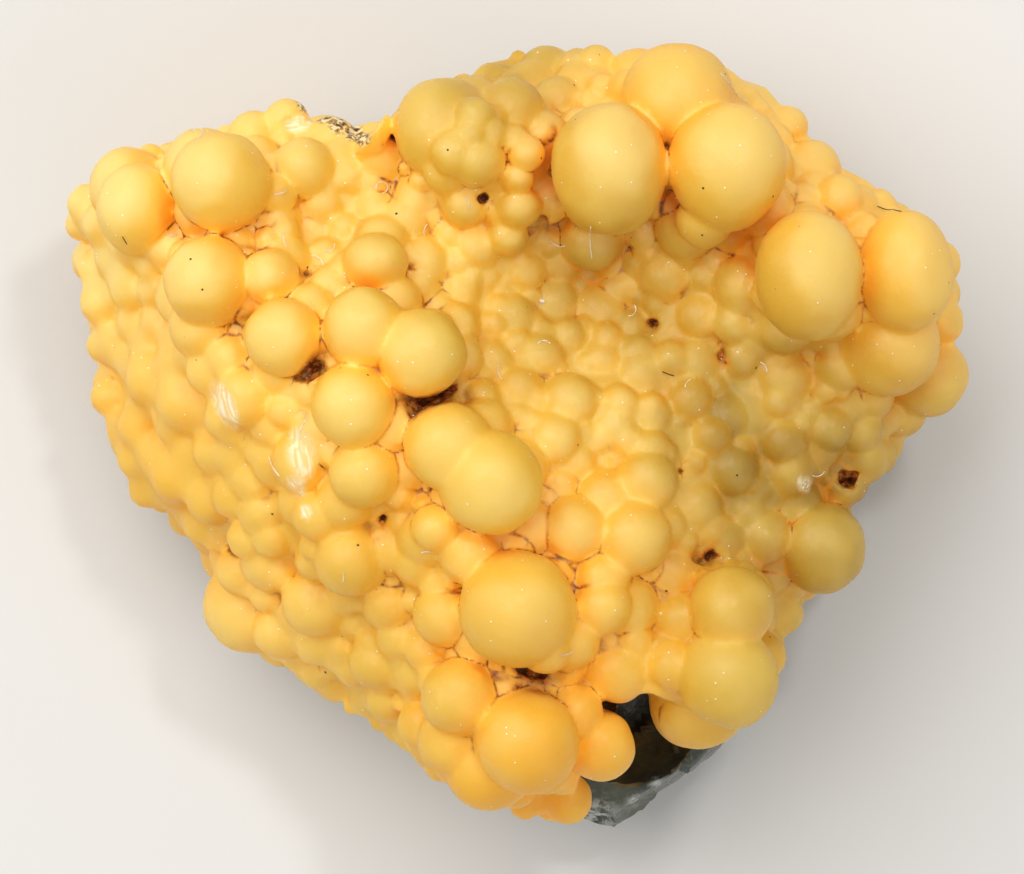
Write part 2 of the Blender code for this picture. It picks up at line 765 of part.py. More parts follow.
def make_crust():
    """The yellow crust with all of its globes, in one piece."""
    crust = link("mimetite_crust", ground_shape(0.0))
    shown = shown_globes()
    hidden = side_globes()
    hidden += fill_globes(shown + hidden)
    combine(crust, "UNION", globe_things(hidden, len(shown)))
    pits = [link(f"pit_{number}", pit_shape(*pit)) for number, pit in enumerate(PITS)]
    combine(crust, "DIFFERENCE", [*pits, link("mouth", mouth_shape())])
    combine(crust, "UNION", globe_things(shown, 0))
    shape = bmesh.new()
    shape.from_mesh(crust.data)
    for height, rise_x, rise_y in CRUST_EDGES:
        facing = Vector((rise_x, rise_y, -1.0)).normalized()
        cut_flat(shape, Vector((0.0, 0.0, height)) * MM, facing)
    bmesh.ops.triangulate(shape, faces=shape.faces[:])
    shape.to_mesh(crust.data)
    shape.free()
    fuse(crust, FUSE_VOXEL)
    keep_outer_skin(crust)
    simplify(crust, CRUST_FACES)
    cutters = [
        link("rock_cutter", ground_shape(CRUST_THICKNESS - ROCK_GAP)),
        link("ledge_cutter", ledge_shape(LEDGE_GAP)),
    ]
    combine(crust, "DIFFERENCE", cutters)
    keep_outer_skin(crust)
    crust.data.materials.clear()
    crust.data.materials.append(material("mimetite", YELLOW, YELLOW_ROUGHNESS))
    return crust


def main():
    for thing in list(bpy.data.objects):
        bpy.data.objects.remove(thing)
    make_rock()
    make_crust()


if __name__ == "__main__":
    main()
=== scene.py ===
"""Mimetite specimen: the looks of a botryoidal crust of yellow globes on broken vein quartz.

Sizes in the tables are in millimetres, in the frame of the solids: X to the right and Y up in the
displayed face, Z up from the surface that the specimen lies on.
"""

import math
import random

import bmesh
import bpy
import numpy as np
from mathutils import Matrix, Vector, noise
from mathutils.bvhtree import BVHTree


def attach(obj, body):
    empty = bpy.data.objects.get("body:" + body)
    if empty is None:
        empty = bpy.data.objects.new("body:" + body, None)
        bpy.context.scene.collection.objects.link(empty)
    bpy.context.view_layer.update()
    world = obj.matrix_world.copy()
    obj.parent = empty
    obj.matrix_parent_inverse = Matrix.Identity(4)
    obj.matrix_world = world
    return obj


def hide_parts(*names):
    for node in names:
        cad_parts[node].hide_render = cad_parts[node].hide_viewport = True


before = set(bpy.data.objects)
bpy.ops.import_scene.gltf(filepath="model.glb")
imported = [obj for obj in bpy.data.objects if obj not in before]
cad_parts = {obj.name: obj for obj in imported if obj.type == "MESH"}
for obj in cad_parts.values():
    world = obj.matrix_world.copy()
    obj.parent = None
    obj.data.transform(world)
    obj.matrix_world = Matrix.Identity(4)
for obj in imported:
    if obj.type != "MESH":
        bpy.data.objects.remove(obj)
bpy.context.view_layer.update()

bl_info = {
    "name": "Mimetite specimen",
    "version": (1, 0, 0),
    "blender": (4, 5, 0),
    "location": "3D View > Sidebar > Mimetite",
    "description": "Makes a botryoidal mimetite specimen on its quartz, with a studio around it",
    "category": "Add Mesh",
}

MM = 0.001

# The point under the specimen that the ground is measured from.
HEART = np.array((0.0, 0.0, -12.0))
SUNK_RADII = (0.6, 1.0, 1.6, 2.4)
SUNK_SHARES = (-0.4, -0.2, 0.05, 0.35)
GROUND_BLUR = 0.045
CRUST_THICKNESS = 2.6
ROCK_GAP = 0.5
LEDGE_GAP = 0.3
HULL_SLANT = 1.6

# How finely each shape is divided, by its radius, and how far each globe is turned on from the one
# before, in radians, about Z and about X.
GROUND_LEVEL = 6
LARGE_LEVEL, LARGE_RADIUS = 4, 1.45
MIDDLE_LEVEL, MIDDLE_RADIUS = 3, 0.5
SMALL_LEVEL = 2
FUSE_VOXEL = 0.14
CRUST_FACES = 188000
GROUND_STEPS = 12
PIT_NARROW = 0.72
TURN_Z = 2.4
TURN_X = 1.7

# How often the crust is smoothed, and how often its shade is, which each point measures by rays.
SOFTEN_TIMES = 2
SHADE_TIMES = 4
SHADE_REACH = 3.0
SHADE_RAYS = 7
CREASE_WIDTH = 0.3

# How the rock is divided, and its broken faces: how wide, how steep, and how deep they go.
ROCK_VOXEL = 0.3
FACET_WIDTH = 3.2
FACET_SLOPE = 0.35
FACET_DEPTH = 0.38
LEDGE_CHIPS = 0.27

# Globes that the displayed face hides, on the sides of the crust.
SIDE_SEED = 7
SIDE_TRIES = 6000
SIDE_RISE_LOW = 0.5
SIDE_RISE_HIGH = 0.93
SIDE_RADIUS_LOW = 1.1
SIDE_RADIUS_HIGH = 2.0
SIDE_TOP = 20.0
SIDE_BOTTOM = 4.0
SIDE_WIDTH = 5.0
SIDE_SPACING = 0.72
SIDE_SUNK_SHARE = 0.1

# Lumps that fill the ground between the globes: how steep the ground may be, how radii fall off and
# vary, and how far they keep from the middle of a globe and from a pit, as shares of a radius.
FILL_SEED = 11
FILL_TRIES = 9000
FILL_RISE_LOW = 0.5
FILL_FADE = 0.6
FILL_SPREAD = 0.15
FILL_CLEAR = 0.95
FILL_PIT_MARGIN = 0.3
# Each pass of the filling: radii from the first to the last, how close they lie, and how far their
# middles are under the ground, to and from.
FILL_PASSES = (
    (1.5, 0.9, 0.78, 0.55, 0.2),
    (0.8, 0.4, 1.25, 0.4, 0.0),
)

# The crust ends along these planes: height at the middle, and rise for each mm along X and Y.
CRUST_EDGES = ((4.4, 0.05, -0.05), (1.2, 0.16, -0.16))

# Flat breaks of the rock: a point on the break, and the direction that the broken side faces.
BREAKS = (
    ((0.0, 0.0, 0.0), (0.0, 0.0, -1.0)),
    ((-14.0, 4.0, 1.5), (-0.72, 0.12, -0.68)),
    ((15.5, 3.0, 1.6), (0.66, 0.1, -0.74)),
    ((0.5, 12.5, 1.4), (0.08, 0.7, -0.71)),
    ((-8.0, -9.5, 1.3), (-0.5, -0.56, -0.66)),
    ((11.0, -8.5, 1.2), (0.55, -0.5, -0.67)),
    ((-13.0, 12.0, 3.0), (-0.6, 0.45, -0.66)),
    ((14.0, 12.0, 3.2), (0.5, 0.55, -0.67)),
)

# Corners of the piece of rock that stands out below the crust at the lower right.
LEDGE = (
    (1.2, -19.2, 4.2),
    (5.2, -19.7, 4.6),
    (8.6, -17.6, 4.4),
    (10.8, -15.2, 5.4),
    (12.4, -11.0, 4.4),
    (1.8, -18.6, 6.4),
    (5.2, -19.2, 7.0),
    (8.2, -17.1, 7.6),
    (10.4, -14.9, 7.4),
    (11.4, -11.5, 7.0),
    (2.6, -15.4, 0.6),
    (8.2, -13.8, 0.6),
    (9.6, -10.4, 0.6),
    (1.0, -10.0, 0.6),
    (4.4, -14.4, 10.8),
    (7.4, -13.6, 10.6),
    (2.0, -10.0, 11.5),
    (8.0, -8.0, 11.5),
)

# Corners in plan of the mouth where the crust is open down to that piece of rock.
MOUTH = (
    (4.4, -13.0),
    (6.8, -12.8),
    (9.4, -15.0),
    (12.0, -15.2),
    (13.0, -19.0),
    (7.0, -22.0),
    (2.6, -22.0),
    (2.6, -19.3),
)
MOUTH_FLOOR = 5.0
MOUTH_TOP = 30.0

# Pits between the globes, each as X, Y, half length, half width, and turn in degrees. The middle of
# a pit is raised over the ground, and a pit goes down from there by its depth.
PITS = (
    (7.0, 5.6, 0.9, 0.55, 20),
    (10.35, 4.1, 1.4, 0.5, 95),
    (8.4, -1.65, 1.3, 0.45, 95),
    (9.85, -6.05, 1.3, 0.6, -10),
    (1.1, 10.6, 1.3, 0.4, 40),
    (-0.75, 7.9, 1.0, 0.4, 60),
    (-1.5, 11.85, 0.6, 0.4, 0),
    (-3.7, 2.1, 1.8, 0.7, 28),
    (-10.2, 3.2, 1.1, 0.5, 25),
    (-6.5, -4.15, 0.8, 0.5, 20),
    (-10.25, 8.1, 0.7, 0.45, 0),
    (-13.2, 5.8, 0.5, 0.4, 0),
    (1.3, -11.9, 1.4, 0.6, -20),
    (3.6, -13.0, 1.6, 0.8, -25),
    (16.7, -2.2, 0.7, 0.6, 0),
    (-14.0, -5.65, 0.7, 0.5, 0),
)
PIT_RAISED = 1.2
PIT_DEPTH = 1.1

# The hollow of the rock in the mouth of the crust: its middle and half sizes.
HOLLOW = (6.2, -14.2, 9.6)
HOLLOW_SIZE = (3.1, 3.7, 4.2)

# The outline of the displayed face, and the rings that lead it down to the rest: a share of the
# outline and a height.
OUTLINE = (
    (22.9, 3.2),
    (20.6, 0.9),
    (19.3, -1.2),
    (17.0, -3.2),
    (17.6, -5.6),
    (15.0, -8.8),
    (13.5, -12.0),
    (10.3, -15.4),
    (7.5, -17.6),
    (3.0, -19.8),
    (0.0, -19.4),
    (-3.4, -17.6),
    (-6.6, -15.2),
    (-10.9, -12.6),
    (-15.5, -10.2),
    (-16.4, -6.5),
    (-18.6, -4.2),
    (-20.6, -2.6),
    (-21.8, 1.9),
    (-22.3, 6.8),
    (-23.0, 10.8),
    (-20.7, 14.4),
    (-16.3, 15.2),
    (-11.8, 16.8),
    (-8.2, 15.2),
    (-6.5, 15.6),
    (-5.4, 17.2),
    (-3.6, 18.0),
    (1.5, 20.0),
    (4.8, 19.6),
    (8.2, 19.7),
    (12.0, 17.6),
    (14.8, 15.0),
    (16.6, 12.6),
    (19.0, 12.0),
    (21.0, 10.6),
    (22.5, 9.4),
    (22.7, 6.5),
)
SKIRT_WEIGHT = 2.5
SKIRT = ((0.9, 6.5), (0.88, 3.5), (0.84, 0.5), (0.76, -3.0), (0.7, -7.0), (0.7, -12.0))

# Globes that show on the displayed face, each as X, Y, height of its top, and radius. A fifth value
# is how many times longer than wide it is along Y.
CREST_GLOBES = (
    (-15.3, 7.75, 21.5, 2.25),
    (-12.2, 7.95, 21.0, 1.45),
    (-15.6, 5.6, 19.5, 1.75),
    (-11.55, 5.0, 23.0, 1.95),
    (-14.25, 3.95, 19.8, 1.2),
    (-7.5, 5.45, 24.0, 2.05),
    (-4.6, 4.15, 24.5, 2.2),
    (-8.05, 1.55, 24.3, 2.1),
    (-7.5, -1.8, 23.0, 1.75),
    (-5.5, -1.5, 21.8, 1.3),
    (-3.25, -0.5, 24.6, 2.25),
    (-1.2, -2.25, 25.2, 2.6),
    (-4.0, -4.55, 22.5, 1.2),
    (-2.25, -5.9, 22.3, 1.5),
    (0.1, -8.5, 24.2, 2.9),
    (1.5, -10.4, 22.0, 1.4),
    (-2.75, -13.0, 21.3, 1.95),
    (-3.1, -15.2, 19.5, 1.8),
    (0.6, -15.2, 22.3, 2.65),
    (-1.25, -16.4, 19.5, 2.35),
    (4.25, -15.45, 18.8, 1.8),
    (3.0, -13.75, 19.5, 1.4),
    (2.65, -18.3, 14.0, 1.3),
    (0.5, -18.6, 13.0, 0.8),
    (-0.7, -12.05, 20.0, 0.6),
)
UPPER_LEFT_GLOBES = (
    (-14.7, 12.75, 21.5, 2.5),
    (-19.0, 11.45, 17.8, 2.05, 1.12),
    (-19.5, 12.6, 16.0, 2.0),
    (-22.1, 10.8, 10.5, 0.9),
    (-21.7, 11.8, 12.0, 1.1),
    (-15.6, 13.45, 18.0, 2.1),
    (-10.6, 13.45, 18.8, 1.6),
    (-8.25, 13.05, 18.0, 1.0),
    (-8.45, 11.85, 17.6, 0.85),
    (-13.15, 15.1, 16.0, 1.35),
    (-11.5, 15.85, 16.0, 1.2),
    (-9.25, 14.85, 16.5, 1.3),
    (-10.1, 10.5, 17.8, 0.7),
    (-9.15, 10.25, 17.8, 0.8),
    (-10.3, 9.2, 18.4, 0.8),
    (-11.5, 10.2, 19.0, 0.75),
    (-12.35, 9.85, 19.2, 0.6),
)
LEFT_FLANK_GLOBES = (
    (-19.65, 8.25, 14.0, 0.8),
    (-18.2, 8.7, 15.5, 1.0),
    (-20.9, 6.85, 11.5, 1.35),
    (-21.65, 8.6, 10.5, 0.8),
    (-19.2, 5.85, 13.0, 1.1),
    (-18.0, 5.85, 14.5, 1.0),
    (-17.0, 3.6, 15.8, 1.3),
    (-19.35, 3.65, 12.5, 1.0),
    (-20.95, 4.6, 10.5, 1.0),
    (-20.7, 2.1, 10.0, 1.1),
    (-16.6, 1.85, 16.3, 1.65),
    (-19.1, 0.6, 12.3, 1.25),
    (-19.2, -1.05, 11.0, 1.2),
    (-18.75, -2.65, 10.0, 1.1),
    (-17.2, -2.05, 13.8, 1.35),
    (-15.05, -0.75, 16.5, 1.3),
    (-15.3, -3.1, 14.8, 1.4),
    (-14.55, -4.65, 12.8, 1.0),
    (-16.25, -3.75, 11.5, 0.75),
    (-13.05, -2.3, 17.8, 1.15),
    (-12.7, -0.65, 18.8, 0.95),
    (-13.45, 2.0, 20.6, 1.55),
    (-11.4, 1.35, 20.8, 1.0),
    (-10.8, -1.25, 21.0, 1.35, 1.15),
    (-9.9, -3.9, 20.5, 1.3),
    (-12.15, -4.95, 17.3, 1.15),
    (-11.55, -3.4, 18.0, 0.75),
    (-12.85, -6.75, 14.5, 0.8),
    (-11.85, -6.8, 15.8, 0.8),
)
LOWER_LEFT_GLOBES = (
    (-13.45, -8.6, 12.0, 2.45),
    (-11.8, -9.7, 13.3, 1.55),
    (-9.9, -8.3, 16.6, 1.85),
    (-8.2, -6.1, 20.3, 1.9),
    (-6.35, -8.35, 18.7, 1.35),
    (-5.55, -4.15, 20.5, 0.85),
    (-4.85, -6.15, 20.5, 1.3),
    (-3.55, -8.9, 20.8, 1.55),
    (-9.95, -11.7, 11.5, 1.15),
    (-8.15, -11.55, 14.3, 1.05),
    (-7.05, -10.25, 16.5, 1.05),
    (-6.55, -12.2, 15.8, 0.75),
    (-5.5, -11.0, 17.3, 0.95),
    (-4.45, -10.65, 18.8, 1.2),
    (-4.85, -12.75, 16.5, 0.95),
    (-7.45, -13.25, 12.0, 1.0),
    (-6.7, -14.25, 11.5, 0.75),
    (-5.15, -15.0, 13.8, 1.0),
    (-3.75, -16.55, 14.0, 0.9),
)
UPPER_RIGHT_GLOBES = (
    (4.7, 13.35, 24.0, 2.9, 1.16),
    (10.55, 13.45, 23.6, 2.95, 1.08),
    (9.45, 10.85, 21.3, 1.45),
    (8.15, 16.8, 21.5, 2.9),
    (14.6, 8.0, 23.6, 2.75, 1.16),
    (19.5, 8.25, 21.5, 2.4, 1.28),
    (18.75, 4.6, 18.8, 2.6),
    (20.85, 3.15, 14.5, 2.15),
    (19.65, 1.25, 12.5, 1.25),
    (21.25, 8.75, 16.0, 1.2),
    (21.5, 6.85, 14.5, 0.85),
    (18.3, 11.6, 16.5, 0.9),
    (16.2, 11.9, 18.3, 1.25),
    (14.45, 11.85, 18.3, 0.9),
    (14.95, 13.55, 16.6, 1.45),
    (13.7, 15.65, 15.0, 1.1),
    (13.0, 14.85, 16.2, 1.0),
    (11.65, 17.0, 15.5, 0.75),
    (12.25, 16.35, 15.6, 0.7),
)
TOP_GLOBES = (
    (-3.55, 15.45, 21.0, 2.55),
    (-3.05, 14.1, 22.0, 1.2),
    (-2.0, 15.95, 21.6, 1.0),
    (-1.2, 15.1, 21.3, 0.9),
    (-2.25, 15.0, 21.8, 0.9),
    (-0.05, 14.75, 20.9, 0.85),
    (0.6, 14.1, 21.3, 0.9),
    (0.15, 12.95, 20.8, 0.85),
    (0.2, 11.45, 20.3, 1.1),
    (-0.35, 10.05, 19.3, 1.05),
    (-1.95, 9.55, 18.8, 1.3),
    (-1.55, 8.1, 18.0, 1.0),
    (-3.0, 8.75, 18.6, 1.0),
    (-3.25, 10.1, 18.6, 0.9),
    (-5.5, 10.75, 18.8, 1.3),
    (-7.0, 11.35, 18.2, 1.1),
    (-4.25, 11.1, 18.3, 0.9),
    (-6.95, 8.75, 21.5, 1.65, 0.85),
    (-9.15, 7.55, 20.3, 1.1),
    (-4.95, 7.5, 19.5, 1.2),
    (-3.75, 6.35, 19.3, 0.9),
    (1.65, 18.3, 14.3, 1.5),
    (-0.15, 17.5, 15.5, 0.95),
    (-1.1, 17.85, 14.5, 1.1),
    (2.15, 16.8, 17.0, 1.35),
    (1.0, 16.35, 17.5, 1.1),
    (4.1, 18.9, 15.0, 0.92),
    (4.4, 17.45, 16.8, 0.85),
    (3.0, 17.95, 15.8, 1.0),
    (3.25, 15.45, 18.5, 1.1),
)
BASIN_GLOBES = (
    (-1.7, 1.85, 20.8, 1.05),
    (-0.05, 1.05, 20.3, 0.7),
    (-2.4, 6.05, 19.0, 0.65),
    (-0.85, 6.35, 18.3, 0.8),
    (0.75, 5.75, 17.8, 0.75),
    (-1.15, 3.75, 19.5, 1.1),
    (0.05, 4.6, 18.8, 0.9),
    (2.6, 4.95, 17.8, 1.05),
    (4.6, 4.95, 17.5, 0.85),
    (6.1, 4.15, 17.6, 1.05),
    (2.05, 3.45, 18.3, 0.6),
    (0.45, 3.35, 19.0, 0.7),
    (5.2, 1.65, 19.2, 1.0),
    (1.85, 1.85, 19.3, 0.7),
    (1.95, -0.15, 20.8, 1.4),
    (4.1, -0.15, 19.3, 0.8),
    (5.6, -0.15, 19.3, 0.85),
    (4.0, -1.7, 19.0, 0.6),
    (2.15, -2.35, 20.3, 0.9),
    (2.9, -4.55, 21.5, 1.65),
    (5.9, -5.0, 21.3, 1.9),
    (6.55, -2.25, 20.3, 1.6),
    (7.8, 3.85, 18.0, 1.0),
    (12.0, 4.8, 17.8, 1.25),
    (9.8, 0.05, 18.2, 1.05),
    (8.75, 1.85, 18.3, 1.2),
    (9.05, 4.9, 17.0, 0.6),
    (13.75, 1.6, 17.0, 0.75),
    (14.45, 0.85, 16.8, 0.75),
    (15.5, 2.3, 16.8, 0.65),
    (17.45, 0.3, 15.2, 1.2),
    (18.35, -0.95, 13.5, 1.0),
    (11.75, -2.15, 16.8, 0.65),
    (12.85, -3.0, 15.8, 0.75),
    (15.15, -2.75, 14.0, 0.65),
    (15.25, -1.55, 15.3, 0.65),
    (9.55, -4.45, 17.5, 1.2),
    (8.4, -5.2, 18.3, 0.75),
    (12.45, -5.0, 16.5, 1.45),
    (15.55, -5.6, 16.3, 2.1, 1.12),
    (12.7, -6.95, 14.5, 1.2),
    (13.45, -8.9, 13.0, 1.2),
)
LOWER_RIGHT_GLOBES = (
    (4.35, -8.4, 21.3, 1.45),
    (10.85, -8.55, 20.8, 2.15),
    (10.65, -12.0, 20.8, 2.55),
    (7.85, -11.4, 19.3, 1.35),
    (8.25, -9.05, 18.8, 1.35),
    (7.05, -7.85, 18.2, 1.3),
    (5.1, -11.55, 19.2, 1.75),
    (5.95, -10.15, 19.2, 0.95),
    (2.55, -11.35, 19.5, 1.0),
    (9.2, -13.3, 16.5, 2.5),
)
RECESS_GLOBES = (
    (2.25, 10.35, 16.2, 1.1),
    (3.1, 9.1, 15.8, 1.05),
    (1.25, 7.7, 16.2, 0.95),
    (4.85, 8.75, 16.2, 0.95),
    (3.05, 7.35, 15.8, 1.0),
    (4.5, 6.55, 15.3, 0.75),
    (6.45, 7.05, 16.3, 0.65),
    (1.5, 9.35, 16.0, 0.8),
    (6.25, 8.75, 16.7, 0.8),
    (7.5, 9.6, 17.5, 0.8),
    (8.75, 8.75, 17.3, 0.7),
    (10.0, 8.75, 17.8, 0.9),
    (7.85, 7.6, 16.7, 0.8),
    (9.4, 7.1, 17.2, 0.9),
    (11.0, 6.85, 17.8, 0.9),
)
SHOWN_GLOBES = (
    CREST_GLOBES
    + UPPER_LEFT_GLOBES
    + LEFT_FLANK_GLOBES
    + LOWER_LEFT_GLOBES
    + UPPER_RIGHT_GLOBES
    + TOP_GLOBES
    + BASIN_GLOBES
    + LOWER_RIGHT_GLOBES
    + RECESS_GLOBES
)


# Broken globes, and one painted highlight laid out as a break: the middle of the break in X and Y, its half
# length and half width, the turn of its fibres in degrees, the way that the break faces, how deep it goes, and
# how white it is.
FRACTURES = (
    (-14.5, 1.6, 1.5, 0.6, -64, (-0.75, -0.1, 0.65), 0.35, 0.9),
    (-10.6, -0.8, 1.5, 0.8, -80, (-0.25, -0.1, 0.96), 0.3, 0.75),
    (-10.9, -2.4, 0.7, 0.45, -55, (-0.5, -0.45, 0.7), 0.2, 1.0),
    # Painted highlight, not a real break: a shallow flat chip painted white.
    (-10.4, -3.7, 0.45, 0.3, -70, (-0.3, 0.2, 0.9), 0.06, 1.0),
    (14.5, -2.4, 0.5, 0.35, -50, (0.2, -0.3, 0.9), 0.1, 1.0),
    (-10.95, 15.75, 0.8, 0.55, 10, (0.0, 0.15, 0.98), 0.4, 0.9),
)
FRACTURE_FLOOR = 10.0
FIBRE_STRETCH = 0.93

# Where the low lobes of the left flank have grown together, as X, Y and radius, how often they are
# smoothed, and the radius from which a globe keeps its shape.
FLANK_SPOTS = (
    (-20.0, 3.0, 4.0),
    (-18.3, -1.6, 3.2),
    (-21.2, 7.6, 2.6),
    (-17.2, 2.2, 2.4),
    (-20.6, 10.6, 2.0),
)
FLANK_TIMES = 7
FLANK_GLOBE = 1.7

# Where the broken upper edge is gritty and brown, as X, Y and radius, and the height that it goes down to.
GRIT_SPOTS = ((-10.5, 16.8, 0.6), (-9.7, 16.2, 0.6), (-8.9, 15.7, 0.6), (-8.1, 15.3, 0.6), (-7.6, 14.9, 0.5))
GRIT_FLOOR = 13.8

# Lint and hairs that lie on the globes, each as X, Y, heading in degrees, length, how far it curls
# round in degrees, and whether it is dark.
LINT = (
    (1.75, 9.9, -60, 0.9, 80, 0),
    (3.75, 10.5, -92, 1.6, 12, 0),
    (-0.8, 3.7, -110, 0.9, 70, 0),
    (1.1, 4.6, 60, 0.8, -120, 0),
    (7.3, 3.3, -25, 0.7, 10, 1),
    (-15.9, 14.9, 10, 1.3, 250, 0),
    (-19.7, 10.1, -60, 0.5, 0, 1),
    (-17.5, 10.3, -70, 0.7, 130, 0),
    (-12.1, 12.1, 0, 0.8, 40, 0),
    (-10.3, 9.0, 20, 1.0, -110, 0),
    (-9.6, 9.4, -50, 0.9, 160, 0),
    (-11.5, 10.3, -110, 0.8, 60, 0),
    (-4.5, 10.0, 110, 0.7, -70, 0),
    (-6.7, 12.2, 0, 1.5, 300, 0),
    (-2.6, 12.0, -30, 0.8, -90, 0),
    (-12.3, -0.9, -75, 1.2, 30, 0),
    (-10.2, 1.0, 215, 1.3, 70, 0),
    (-4.0, -5.8, 150, 0.7, 60, 0),
    (2.2, -10.8, -10, 0.7, 50, 0),
    (10.15, 18.2, -50, 2.1, 14, 0),
    (18.1, 11.6, -22, 1.2, 8, 1),
    (12.6, 3.2, 80, 0.7, 90, 0),
    (14.9, -1.9, -30, 0.8, 100, 0),
    (-8.6, -7.3, 70, 0.6, 40, 0),
    (5.6, 6.1, -15, 0.9, 150, 0),
    (8.9, 2.9, 190, 0.6, 80, 0),
)
LINT_RADIUS = 0.028

# A white crumb in the hollow, laid as the lint is.
CRUMB = (1.15, 6.85, -8, 0.34, 0)
CRUMB_RADIUS = 0.11

LINT_STEP = 0.08
LINT_LIFT = 0.02
LINT_SIDES = 6

# The angular splinter in the notch of the upper edge, by its corners.
SPLINTER = (
    (-8.1, 14.0, 18.4),
    (-6.4, 16.2, 18.6),
    (-6.0, 15.6, 18.4),
    (-6.7, 14.2, 18.6),
    (-7.0, 15.1, 19.7),
    (-7.5, 14.4, 14.0),
    (-6.3, 15.2, 14.0),
)

# Colour zones of the crust: X, Y, radius, how orange and how khaki it is there, and how much painted light there
# makes the outward tops pale.
ZONES = (
    (4.7, 13.5, 4.0, 0.55, 0.0, 0.9),
    (10.5, 14.0, 5.5, 0.55, 0.0, 0.6),
    (8.2, 17.6, 3.0, 0.7, 0.1, 0.0),
    (17.5, 7.5, 5.0, 0.65, 0.0, 0.5),
    (18.3, 3.5, 3.0, 0.8, 0.3, 0.3),
    (1.0, -15.5, 5.5, 1.0, 0.0, 0.0),
    (2.6, -4.2, 3.0, 0.4, 0.0, 0.4),
    (6.3, -4.0, 3.0, 0.5, 0.2, 0.3),
    (10.5, -10.0, 3.8, 0.0, 0.6, 0.1),
    (-15.0, 10.0, 7.0, 0.2, 0.0, 0.7),
    (-21.0, 10.0, 4.0, 0.1, 0.0, 1.0),
    (-8.0, 2.0, 5.0, 0.15, 0.0, 0.5),
    (0.0, -8.0, 4.0, 0.4, 0.0, 0.3),
    (-1.0, -2.0, 3.5, 0.2, 0.0, 0.4),
    (-14.0, -9.0, 4.0, 0.4, 0.0, 0.4),
    (-19.5, 3.0, 5.5, 0.6, 0.0, 0.2),
    (-17.0, -1.0, 4.0, 0.55, 0.1, 0.0),
    (5.0, 8.5, 4.5, 0.0, 1.15, 0.0),
    (9.3, 8.6, 3.5, 0.0, 0.7, 0.1),
    (12.0, 1.0, 6.0, 0.0, 1.2, 0.0),
    (16.0, -1.0, 4.0, 0.0, 1.1, 0.0),
    (4.3, 1.8, 3.0, 0.1, 0.2, 0.5),
    (0.5, 4.8, 3.6, 0.1, 0.7, 0.1),
    (-2.0, 5.5, 2.5, 0.1, 0.3, 0.3),
    (-4.5, 10.3, 4.5, 0.0, 0.35, 0.4),
    (-9.5, 11.0, 4.0, 0.1, 0.5, 0.2),
    (0.5, 17.5, 4.0, 0.2, 0.8, 0.0),
    (15.5, -5.5, 3.0, 0.0, 0.9, 0.1),
    (-4.5, -11.5, 4.0, 0.05, 0.4, 0.1),
    (-7.0, -6.0, 4.0, 0.2, 0.35, 0.0),
    (-13.0, -3.0, 3.5, 0.25, 0.35, 0.0),
)
ZONE_BASE = 0.12

# Where the rock is smoky brown from, how flat its rest is kept, and where its rim is frosted: X, Y and
# radius.
SMOKE_HEIGHT = 7.9
FLAT_HEIGHT = 0.12
FROSTED = ((4.2, -19.5, 0.9), (2.8, -19.2, 0.9), (6.1, -18.6, 0.3), (7.2, -17.7, 0.3))
FROST_LEAST = 0.0

# Painted shade: the hollow is painted darkest where X less Y is under this, and fades over this width.
DARK_FROM = 20.5
DARK_FADE = 2.5


def globe_middle(globe):
    """The centre of a listed globe."""
    x, y, top, radius = globe[:4]
    return np.array((x, y, top - radius))


def ground_points():
    """Points that the ground between the globes passes through."""
    points = []
    for globe in SHOWN_GLOBES:
        middle = globe_middle(globe)
        outward = (middle - HEART) / np.linalg.norm(middle - HEART)
        down = globe[3] * np.interp(globe[3], SUNK_RADII, SUNK_SHARES)
        points.append((*(middle - outward * down), globe[3]))
    for share, height in SKIRT:
        points += [(x * share, y * share, height, SKIRT_WEIGHT) for x, y in OUTLINE]
    return np.array(points)


def ground_reach(directions):
    """How far the ground is from the heart along each direction."""
    points = ground_points()
    arms = points[:, :3] - HEART
    lengths = np.linalg.norm(arms, axis=1)
    aims = (arms / lengths[:, None]).T
    found = []
    for some in np.array_split(directions, max(1, len(directions) // 4000)):
        power = (some @ aims - 1.0) * 2.0 / GROUND_BLUR**2 + np.log(points[:, 3])
        weights = np.exp(power - power.max(axis=1, keepdims=True))
        found.append((weights * lengths).sum(axis=1) / weights.sum(axis=1))
    return np.concatenate(found)


def ground_shape(inward, level):
    """A closed shape that lies the given distance under the ground."""
    shape = bmesh.new()
    bmesh.ops.create_icosphere(shape, subdivisions=level, radius=1.0)
    directions = np.array([vertex.co[:] for vertex in shape.verts])
    directions /= np.linalg.norm(directions, axis=1)[:, None]
    reach = ground_reach(directions) - inward
    for vertex, direction, length in zip(shape.verts, directions, reach):
        vertex.co = Vector(HEART + direction * length)
    return shape


def cut_flat(shape, point, facing):
    """Takes away the side of a shape that lies beyond a plane, and closes the cut."""
    everything = shape.verts[:] + shape.edges[:] + shape.faces[:]
    cut = bmesh.ops.bisect_plane(
        shape, geom=everything, plane_co=point, plane_no=facing, clear_outer=True, dist=1e-5
    )
    rim = [item for item in cut["geom_cut"] if isinstance(item, bmesh.types.BMEdge)]
    bmesh.ops.holes_fill(shape, edges=rim)


def hull_shape(corners):
    """The convex shape around some corners."""
    shape = bmesh.new()
    for corner in corners:
        shape.verts.new(corner)
    hull = bmesh.ops.convex_hull(shape, input=shape.verts[:])
    inside = [item for item in hull["geom_interior"] if isinstance(item, bmesh.types.BMVert)]
    bmesh.ops.delete(shape, geom=inside, context="VERTS")
    bmesh.ops.recalc_face_normals(shape, faces=shape.faces[:])
    return shape


def over_a_pit(x, y, margin):
    """Whether a point of the plan is over a pit, or this near to it."""
    return any(oval_closeness(np.array((x, y)), pit, margin) < 1.0 for pit in PITS)


